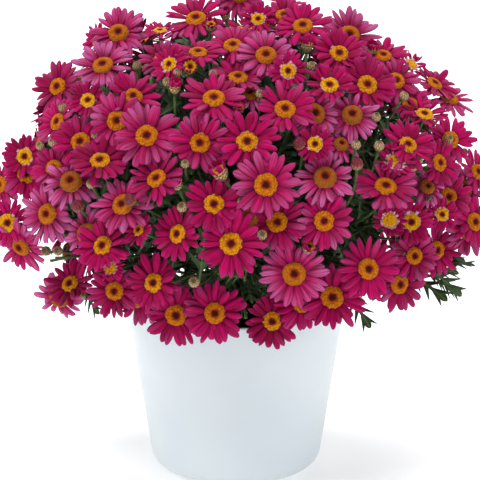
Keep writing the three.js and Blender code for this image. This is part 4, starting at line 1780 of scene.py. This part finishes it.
HIDDEN_AND_SIDE_HEADS = (
    Seen(column=118.5, row=33.5, size=45, across=-0.05, up=0.45, age=Age.FADED),
    Seen(column=58, row=87, size=40, across=-0.45, up=0.2),
    Seen(column=88, row=100.5, size=30, across=-0.1, up=0.35, sink=-4, age=Age.YOUNG),
    Seen(column=133, row=97, size=40, across=0.1, up=0.5, sink=10),
    Seen(column=117, row=121, size=42, up=0.15, sink=5),
    Seen(column=97, row=41, size=29, across=-0.7, up=0.2, sink=10),
    Seen(column=160, row=31, size=27, up=0.88, age=Age.YOUNG),
    Seen(column=162, row=60, size=36, across=-0.1, up=0.6, sink=18),
    Seen(column=239, row=-5, size=42, across=0.2, up=0.3, sink=6, age=Age.FADED),
    Seen(column=258, row=19.5, size=28, up=0.45, sink=-3, age=Age.YOUNG),
    Seen(column=303, row=26.5, size=44, across=-0.1, up=0.6),
    Seen(column=287, row=4, size=30, across=0.1, up=0.92, age=Age.YOUNG),
    Seen(column=284, row=16, size=38, up=0.6, sink=14),
    Seen(column=233, row=46, size=41, up=0.65, sink=7),
    Seen(column=198, row=53, size=40, up=0.8),
    Seen(column=169.5, row=64.5, size=29, across=-0.4, up=0.3, sink=-3, age=Age.YOUNG),
    Seen(column=288, row=71, size=29, up=0.12, sink=-6, age=Age.YOUNG),
    Seen(column=238, row=78, size=42, up=0.75, sink=12),
    Seen(column=314, row=114, size=42, across=0.3, up=0.2, sink=9, age=Age.OLD),
    Seen(column=251, row=95, size=30, across=-0.2, up=0.7, sink=22, age=Age.OLD),
    Seen(column=349, row=36, size=48, across=0.1, up=0.4, sink=8, age=Age.FADED),
    Seen(column=383, row=56, size=38, across=0.1, up=0.7, sink=5),
    Seen(column=411, row=64.5, size=25, across=0.4, up=0.6, sink=2, age=Age.QUILLED),
    Seen(column=396, row=81, size=38, across=0.25, up=0.35, sink=9),
    Seen(column=329.5, row=85.5, size=35, up=0.5, sink=-4, age=Age.YOUNG),
    Seen(column=434, row=84, size=40, across=0.45, up=0.68),
    Seen(column=449, row=99, size=43, across=0.3, up=0.76, age=Age.FADED),
    Seen(column=424.5, row=114.5, size=35, across=0.15, up=0.72, sink=-2, age=Age.YOUNG),
    Seen(column=410, row=104, size=34, across=0.1, up=0.5, sink=13),
    Seen(column=352, row=115.5, size=40, up=0.35, sink=8, age=Age.OLD),
    Seen(column=80.5, row=142, size=42, across=-0.15, up=0.3, sink=9),
    Seen(column=25, row=156.5, size=34, across=-0.25, up=0.05, age=Age.YOUNG),
    Seen(column=27, row=174, size=43, across=-0.1, up=0.2, sink=10),
    Seen(column=0, row=185, size=41, across=-0.5, up=0.1, sink=4),
    Seen(column=71.5, row=182, size=44, across=-0.15, up=0.4, sink=4, age=Age.OLD),
    Seen(column=157, row=179, size=42, across=-0.4, up=0.45),
    Seen(column=58, row=122, size=38, across=-0.6, up=0.3, sink=4),
    Seen(column=54, row=168, size=36, across=-0.3, up=0.3, sink=15),
    Seen(column=200, row=143, size=42, up=0.1, sink=4),
    Seen(column=214, row=204, size=42, up=0.05, sink=4, age=Age.FRESH),
    Seen(column=277, row=222, size=43, up=0.05, sink=9),
    Seen(column=315, row=144, size=29, up=0.1, sink=-2, age=Age.YOUNG),
    Seen(column=178, row=234, size=40, across=-0.55, up=0.1, sink=4, age=Age.FRESH),
    Seen(column=324, row=221, size=42, across=0.05, sink=3),
    Seen(column=325, row=178, size=43, up=0.35, sink=5, age=Age.OLD),
    Seen(column=341, row=145, size=30, across=0.2, up=0.55, sink=17, age=Age.OLD),
    Seen(column=248, row=218, size=40, up=0.2, sink=14, age=Age.OLD),
    Seen(column=395.5, row=162, size=31, across=0.1, up=0.6, sink=3, age=Age.QUILLED),
    Seen(column=450, row=140, size=40, across=0.35, up=0.2, sink=2),
    Seen(column=439, row=163, size=38, across=0.6, up=0.15, sink=5),
    Seen(column=463, row=188, size=41, across=0.4, up=0.1, sink=3, age=Age.OLD),
    Seen(column=448, row=197, size=40, across=0.3, up=0.1, sink=13),
    Seen(column=442, row=214.5, size=27, across=0.15, up=0.1, sink=-2, age=Age.YOUNG),
    Seen(column=477, row=172, size=38, across=0.6, up=0.3, sink=4),
    Seen(column=389.5, row=220, size=26, across=0.1, up=0.05, age=Age.QUILLED),
    Seen(column=411, row=222, size=35, across=0.1, up=0.05, sink=3, age=Age.YOUNG),
    Seen(column=427, row=187, size=30, across=0.2, up=0.35, sink=18, age=Age.OLD),
    Seen(column=88, row=234, size=43, across=-0.35, up=0.05, sink=9, age=Age.OLD),
    Seen(column=60, row=297, size=44, across=-0.25, up=-0.4, sink=14, age=Age.OLD),
    Seen(column=115, row=291, size=41, across=-0.25, up=-0.1, sink=7),
    Seen(column=137, row=299, size=38, across=-0.15, up=-0.2, sink=15),
    Seen(column=469, row=231, size=42, across=0.45, up=-0.2, sink=8, age=Age.FADED),
    Seen(column=414, row=256, size=38, across=0.3, sink=9),
    Seen(column=21, row=246, size=46, across=-0.5, up=-0.5, sink=6, age=Age.FADED),
    Seen(column=176, row=315, size=46, across=-0.05, up=-0.15, sink=6),
    Seen(column=332, row=297, size=49, across=0.08, sink=4),
    Seen(column=302, row=303, size=42, up=-0.05, sink=18),
    Seen(column=399, row=284, size=44, across=0.45, up=-0.1, sink=-15),
    Seen(column=211, row=25, size=12, across=0.1, up=0.6, sink=-2, age=Age.OPENING),
    Seen(column=225, row=14, size=12, across=-0.2, up=0.8, age=Age.OPENING),
    Seen(column=271, row=23, size=12, across=0.2, up=0.7, age=Age.OPENING),
    Seen(column=190, row=67, size=15, across=0.1, up=0.2, sink=-4, age=Age.OPENING),
    Seen(column=175, row=86, size=13, across=0.05, up=0.9, sink=-4, age=Age.OPENING),
    Seen(column=307, row=44, size=14, across=0.05, up=0.95, sink=-3, age=Age.OPENING),
    Seen(column=239, row=107, size=13, across=0.1, up=0.5, sink=2, age=Age.OPENING),
    Seen(column=372, row=48, size=12, across=0.2, up=0.8, age=Age.OPENING),
    Seen(column=219, row=171, size=17, across=-0.5, up=0.7, sink=-2, age=Age.OPENING),
    Seen(column=176, row=183, size=13, across=-0.3, up=0.7, sink=-2, age=Age.OPENING),
    Seen(column=110, row=268, size=21, up=0.1, sink=-4, age=Age.QUILLED),
    Seen(column=139, row=230, size=26, across=-0.5, up=0.3, sink=2, age=Age.FRESH),
    Seen(column=309, row=247, size=14, across=0.2, up=0.5, sink=3, age=Age.OPENING),
)

LOOSE_BUDS = (
    Seen(column=137, row=66, size=6.8, up=0.9, age=Age.FADED),
    Seen(column=63, row=108, size=6.8, across=-0.3, up=0.9, age=Age.FADED),
    Seen(column=178, row=73, size=6.8, up=0.7),
    Seen(column=167, row=82, size=6.5, across=-0.1, up=0.5),
    Seen(column=213, row=74, size=6.2, across=0.1, up=0.4),
    Seen(column=311, row=66, size=6.2, across=0.2, up=0.6),
    Seen(column=260, row=94, size=6.2, up=0.5),
    Seen(column=376, row=117, size=6.8, across=0.2, up=0.6),
    Seen(column=53, row=142, size=6.8, across=-0.3, up=0.5),
    Seen(column=40, row=146, size=6.2, across=-0.3, up=0.5),
    Seen(column=91, row=184, size=6.8, across=-0.2, up=0.5),
    Seen(column=78, row=206, size=9.0, across=-0.3, up=0.5, age=Age.OPENING),
    Seen(column=95, row=135, size=5.5, across=-0.2, up=0.5),
    Seen(column=130, row=200, size=8.5, across=-0.5, up=0.3, sink=-8, age=Age.OPENING),
    Seen(column=185, row=164, size=6.2, up=0.5),
    Seen(column=299, row=144, size=8.5, across=-0.2, up=0.5, age=Age.OPENING),
    Seen(column=242, row=202, size=6.5, across=-0.1, up=0.5),
    Seen(column=356, row=145, size=6.8, across=0.1, up=0.8),
    Seen(column=379, row=146, size=7.4, across=0.1, up=0.8),
    Seen(column=357, row=164, size=8.6, up=0.8, sink=-3, age=Age.OPENING),
    Seen(column=418, row=160, size=7.2, across=0.2, up=0.4),
    Seen(column=413, row=167, size=6.6, across=0.2, up=0.2),
    Seen(column=464, row=152, size=6.0, across=0.4, up=0.4),
    Seen(column=449, row=139, size=6.6, across=0.3, up=0.4, sink=-10),
    Seen(column=46, row=251, size=7.2, across=-0.4, up=0.1, age=Age.FADED),
    Seen(column=58, row=251, size=7.0, across=-0.3, up=0.1, age=Age.FADED),
    Seen(column=85, row=295, size=7.2, across=-0.3, up=0.2, age=Age.FADED),
    Seen(column=194, row=282, size=7.8, across=-0.1, up=0.2),
)


LEAFY_SHOOTS = (
    Seen(column=50, row=261, size=34, across=-0.97, up=-0.2, sink=30),
    Seen(column=55, row=258, size=34, across=-0.99, up=-0.05, sink=34),
    Seen(column=84, row=292, size=32, across=0.1, up=-0.85, sink=14),
    Seen(column=112, row=290, size=34, across=0.1, up=-0.8, sink=16),
    Seen(column=132, row=290, size=36, across=-0.1, up=-0.8, sink=22),
    Seen(column=298, row=300, size=36, across=0.2, up=-0.8, sink=20),
    Seen(column=306, row=298, size=34, up=-0.5, sink=10),
    Seen(column=345, row=290, size=38, across=0.1, up=-0.8, sink=20),
    Seen(column=246, row=318, size=24, across=0.1, up=-0.85, sink=16),
    Seen(column=244, row=276, size=30, across=-0.1, up=0.4, sink=12),
    Seen(column=428, row=266, size=44, across=0.9, up=-0.3, sink=26),
    Seen(column=420, row=270, size=42, across=0.9, sink=34),
    Seen(column=404, row=252, size=40, across=0.1, up=0.8, sink=22),
    Seen(column=374, row=280, size=34, across=0.2, up=-0.85, sink=16),
    Seen(column=431, row=196, size=26, across=0.3, up=0.6, sink=6),
    Seen(column=151, row=78, size=28, up=0.8, sink=5),
)

FRONT_AGES = (
    (Age.FRESH, (1, 6, 7, 8, 9, 12, 14, 20, 21, 22)),
    (Age.FADED, (3, 10, 11, 17, 19)),
    (Age.YOUNG, (26,)),
)


@dataclass
class Daisy:
    """The whole plant and its pot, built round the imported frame.

    The heads of the back are tried along a spiral that falls by fall half-heights of the dome.
    Turns are between a head's outward direction and the viewer's line of sight: -1 faces the
    viewer, 0 lies at the outline and 1 at the back.
    """

    frame: dict
    mound: Mound = field(default_factory=Mound)
    view: View = field(default_factory=View)
    skeleton: Skeleton = field(default_factory=Skeleton)
    pot: Pot = field(default_factory=Pot)
    rng: np.random.Generator = field(default_factory=lambda: np.random.default_rng(SEED))
    back_spacing: float = 29.0
    back_turn: float = -0.24
    edge_turn: float = 0.5
    edge_depth: float = 10.0
    rim_depth: float = 19.0
    head_top_share: float = 0.19
    bud_lift: float = 0.5
    low_leaf_end: float = 0.5
    low_leaf_droop: float = 0.2
    low_leaf_tone: float = 0.5
    tries: int = 900
    fall: float = 1.8
    deep_every: int = 3
    shallow: Passage = (-2.0, 3.0)
    young_sizes: Passage = (28.0, 34.0)
    grown_sizes: Passage = (38.0, 46.0)
    lowest_face: float = -0.05
    face_lift: float = 0.12
    face_spread: float = 0.14
    triangles: int = 0

    def node_points(self, node: str) -> Array:
        """The corner points of a CAD node, in mm."""
        mesh = self.frame["nodes"][node].data
        points = np.empty(len(mesh.vertices) * 3)
        mesh.vertices.foreach_get("co", points)
        return points.reshape(-1, 3) / METRES

    def node_head(self, node: str, age: Age) -> Head:
        """Reads where a head's node stands: its axis is the direction in which it is thinnest.

        The node's disc rises above the petals' plane by a known share of its radius.
        """
        points = np.unique(self.node_points(node).round(3), axis=0)
        middle = points.mean(0)
        normal = np.linalg.svd(points - middle, full_matrices=False)[2][2]
        if normal @ (middle - self.mound.middle * UP) < 0.0:
            normal = -normal
        heights = (points - middle) @ normal
        radius = np.linalg.norm(points - middle - heights[:, None] * normal, axis=1).max()
        lift = heights.max() - self.head_top_share * radius
        return Head(middle + lift * normal, normal, 2.0 * radius, age)

    def node_bud(self, node: str) -> Head:
        """Reads where a bud's node stands; it faces out from the mound and up."""
        points = self.node_points(node)
        low, high = points.min(0), points.max(0)
        place = 0.5 * (low + high)
        normal = unit(self.mound.outward(place) + self.bud_lift * UP)
        return Head(place, normal, float((high - low).mean()))

    def names(self, stem: str) -> list[str]:
        """The CAD nodes whose names start with a stem, in order."""
        return sorted(name for name in self.frame["nodes"] if name.startswith(stem))

    def finish_piece(self, piece: Thing, slot: str, *nodes: str) -> None:
        """Puts a piece on the object's body, hides the nodes that it replaces and counts its triangles."""
        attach(piece, "root")
        if nodes:
            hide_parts(*nodes)
        self.triangles += sum(len(polygon.vertices) - 2 for polygon in piece.data.polygons)
        log.info("%s: %d faces", piece.name, len(piece.data.polygons))

    def back_places(self, taken: list[Head]) -> list[Head]:
        """Heads round the back and sides.

        Candidates lie on the dome along a golden-angle spiral from the top down. One is kept if it
        doesn't face the viewer and no head is nearer than the spacing. Those at the outline lie
        deeper, and so does every third of the rest.
        """
        index = np.arange(self.tries)
        height = 1.0 - self.fall * (index + 0.5) / self.tries
        reach = np.sqrt(1.0 - height**2)
        tall = np.where(height > 0.0, self.mound.rise, self.mound.drop)
        wide = self.mound.radius * reach
        turns = GOLDEN_ANGLE * index
        rise = self.mound.middle + tall * height
        spots = np.stack([wide * np.cos(turns), wide * np.sin(turns), rise], -1)
        forward = self.view.axes()[2]
        outward = self.mound.outward(spots)
        found: list[Head] = []
        middles = [head.place for head in taken]
        for spot, out in zip(spots, outward):
            turn = float(out @ forward)
            if turn < self.back_turn:
                continue
            if min(np.linalg.norm(np.array(middles) - spot, axis=1)) < self.back_spacing:
                continue
            deep = np.interp(turn, (self.back_turn, self.edge_turn), (self.rim_depth, self.edge_depth))
            if turn > self.edge_turn and len(found) % self.deep_every < self.deep_every - 1:
                deep = self.rng.uniform(*self.shallow)
            ages = (Age.PRIME, Age.FADED, Age.FRESH, Age.PRIME, Age.OLD, Age.FRESH, Age.YOUNG)
            age = ages[int(self.rng.integers(len(ages)))]
            size = self.rng.uniform(*(self.young_sizes if age is Age.YOUNG else self.grown_sizes))
            face = np.array([out[0], out[1], max(out[2], self.lowest_face) + self.face_lift])
            face = unit(face + self.rng.normal(0.0, self.face_spread, 3))
            found.append(Head(spot - out * deep, face, size, age))
            middles.append(spot)
        return found

    def make_heads(self, heads: list[tuple[str, Head, str]], finishes: Finishes) -> None:
        """Builds every flower head.

        Args:
            heads: For each its name, its place and the CAD node that it replaces, or "".
            finishes: The object's materials.
        """
        for name, head, node in heads:
            piece = FlowerHead(head, self.rng).make(name, finishes)
            self.finish_piece(piece, "petals", *([node] if node else []))

    def foot_of(self, head: Head, is_bud: bool) -> Array:
        """Where the stalk of a head or bud ends."""
        depth = 0.5 * head.size * (1.0 if is_bud else HEAD_FORMS[head.age].cup)
        return head.place - head.normal * (depth + self.skeleton.gap)

    def carry(self, blooms: list[Head], branches: list[Branch], is_bud: bool) -> None:
        """Gives each head or bud a stalk from the branch nearest to it."""
        for bloom in blooms:
            foot = self.foot_of(bloom, is_bud)
            index = self.skeleton.carrier(foot, self.mound.middle)
            branches[index].stalks.append(self.skeleton.stalk(index, foot, bloom.normal))

    def make_branches(
        self, branches: list[Branch], buds: list[Lofts], cover: Cover, front: Cover, finishes: Finishes
    ) -> None:
        """Builds the branches, their leaves and the loose buds on each.

        Args:
            branches: The branches, with their stalks and shoots.
            buds: The buds of each branch.
            cover: The whole roof of flowers.
            front: The part of it that faces the viewer.
            finishes: The object's materials.
        """
        for index, (branch, lofts) in enumerate(zip(branches, buds)):
            number = f"{index + 1:02d}"
            wood = branch.wood(f"green_branch_{number}", finishes)
            self.finish_piece(wood, "stems", f"branch_{number}")
            leaves = branch.foliage(f"foliage_{number}", finishes, cover, front)
            self.finish_piece(leaves, "leaves")
            if lofts.points:
                loose = lofts.make(f"buds_of_branch_{number}", [finishes.bud])
                self.finish_piece(loose, "buds")

    def make(self) -> None:
        """Builds the pot, the soil, the plant and the heads in order."""
        finishes = Finishes.make()
        self.finish_piece(self.pot.make(finishes), "pot", "pot")
        self.finish_piece(Soil(self.pot, self.rng).make(finishes), "soil", "potting_soil")
        stem = WoodyStem(self.skeleton, self.rng).make(finishes)
        self.finish_piece(stem, "woody_stem", "woody_stem")

        nodes = self.names("flower_head")
        ages = {number: age for age, numbers in FRONT_AGES for number in numbers}
        main = [self.node_head(n, ages.get(i + 1, Age.PRIME)) for i, n in enumerate(nodes)]
        extra = self.view.heads(HIDDEN_AND_SIDE_HEADS, self.mound)
        back = self.back_places(main + extra)
        heads = [(node.replace("flower_head", "daisy_head"), head, node) for node, head in zip(nodes, main)]
        heads += [(f"daisy_head_{len(nodes) + i + 1:03d}", h, "") for i, h in enumerate(extra + back)]
        bud_nodes = self.names("bud")
        node_buds = [self.node_bud(node) for node in bud_nodes]
        loose = self.view.heads(LOOSE_BUDS, self.mound)

        branches = [Branch(i, self.skeleton, self.rng) for i in range(self.skeleton.side_branches + 1)]
        self.carry([head for _, head, _ in heads], branches, is_bud=False)
        self.carry(node_buds + loose, branches, is_bud=True)
        for seen, shoot in zip(LEAFY_SHOOTS, self.view.heads(LEAFY_SHOOTS, self.mound)):
            index = self.skeleton.carrier(shoot.place, self.mound.middle)
            stalk = self.skeleton.stalk(index, shoot.place, shoot.normal)
            branches[index].shoots.append((stalk, seen.size))
        for node, bud in zip(bud_nodes, node_buds):
            lofts = Lofts()
            Bud(bud, self.rng).add(lofts)
            self.finish_piece(lofts.make(f"round_{node}", [finishes.bud]), "buds", node)
        bud_lofts = [Lofts() for _ in branches]
        for bud in loose:
            foot = self.foot_of(bud, is_bud=True)
            Bud(bud, self.rng).add(bud_lofts[self.skeleton.carrier(foot, self.mound.middle)])
        cover = Cover(main + extra + back, self.mound)
        front = Cover(main + extra, self.mound)
        self.make_branches(branches, bud_lofts, cover, front, finishes)
        self.make_heads(heads, finishes)
        self.make_basal_leaves(finishes)
        log.info("%d triangles in all", self.triangles)

    def make_basal_leaves(self, finishes: Finishes) -> None:
        """Builds the low leaves over the pot's rim, each where its CAD node lies."""
        for index, node in enumerate(self.names("leaf")):
            points = self.node_points(node)
            azimuth = self.skeleton.azimuth(index)
            out = np.array([np.cos(azimuth), np.sin(azimuth), 0.0])
            reach = points @ out
            start = points[reach < reach.min() + self.low_leaf_end].mean(0)
            end = points[reach > reach.max() - self.low_leaf_end].mean(0)
            lofts = Lofts()
            ahead = end - start
            Leaves(
                start[None],
                unit(ahead)[None],
                UP[None],
                np.array([np.linalg.norm(ahead)]),
                np.array([self.low_leaf_tone]),
                droop=self.low_leaf_droop,
            ).add(lofts)
            piece = lofts.make(f"low_{node}", [finishes.leaf])
            self.finish_piece(piece, "leaves", node)


def main() -> None:
    """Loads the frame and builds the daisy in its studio."""
    logging.basicConfig(level=logging.INFO, format="%(name)s %(message)s")
    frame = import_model()
    daisy = Daisy(frame)
    daisy.view.make_camera()
    Studio().make()
    daisy.make()
    bpy.context.view_layer.update()


if __name__ == "__main__":
    main()
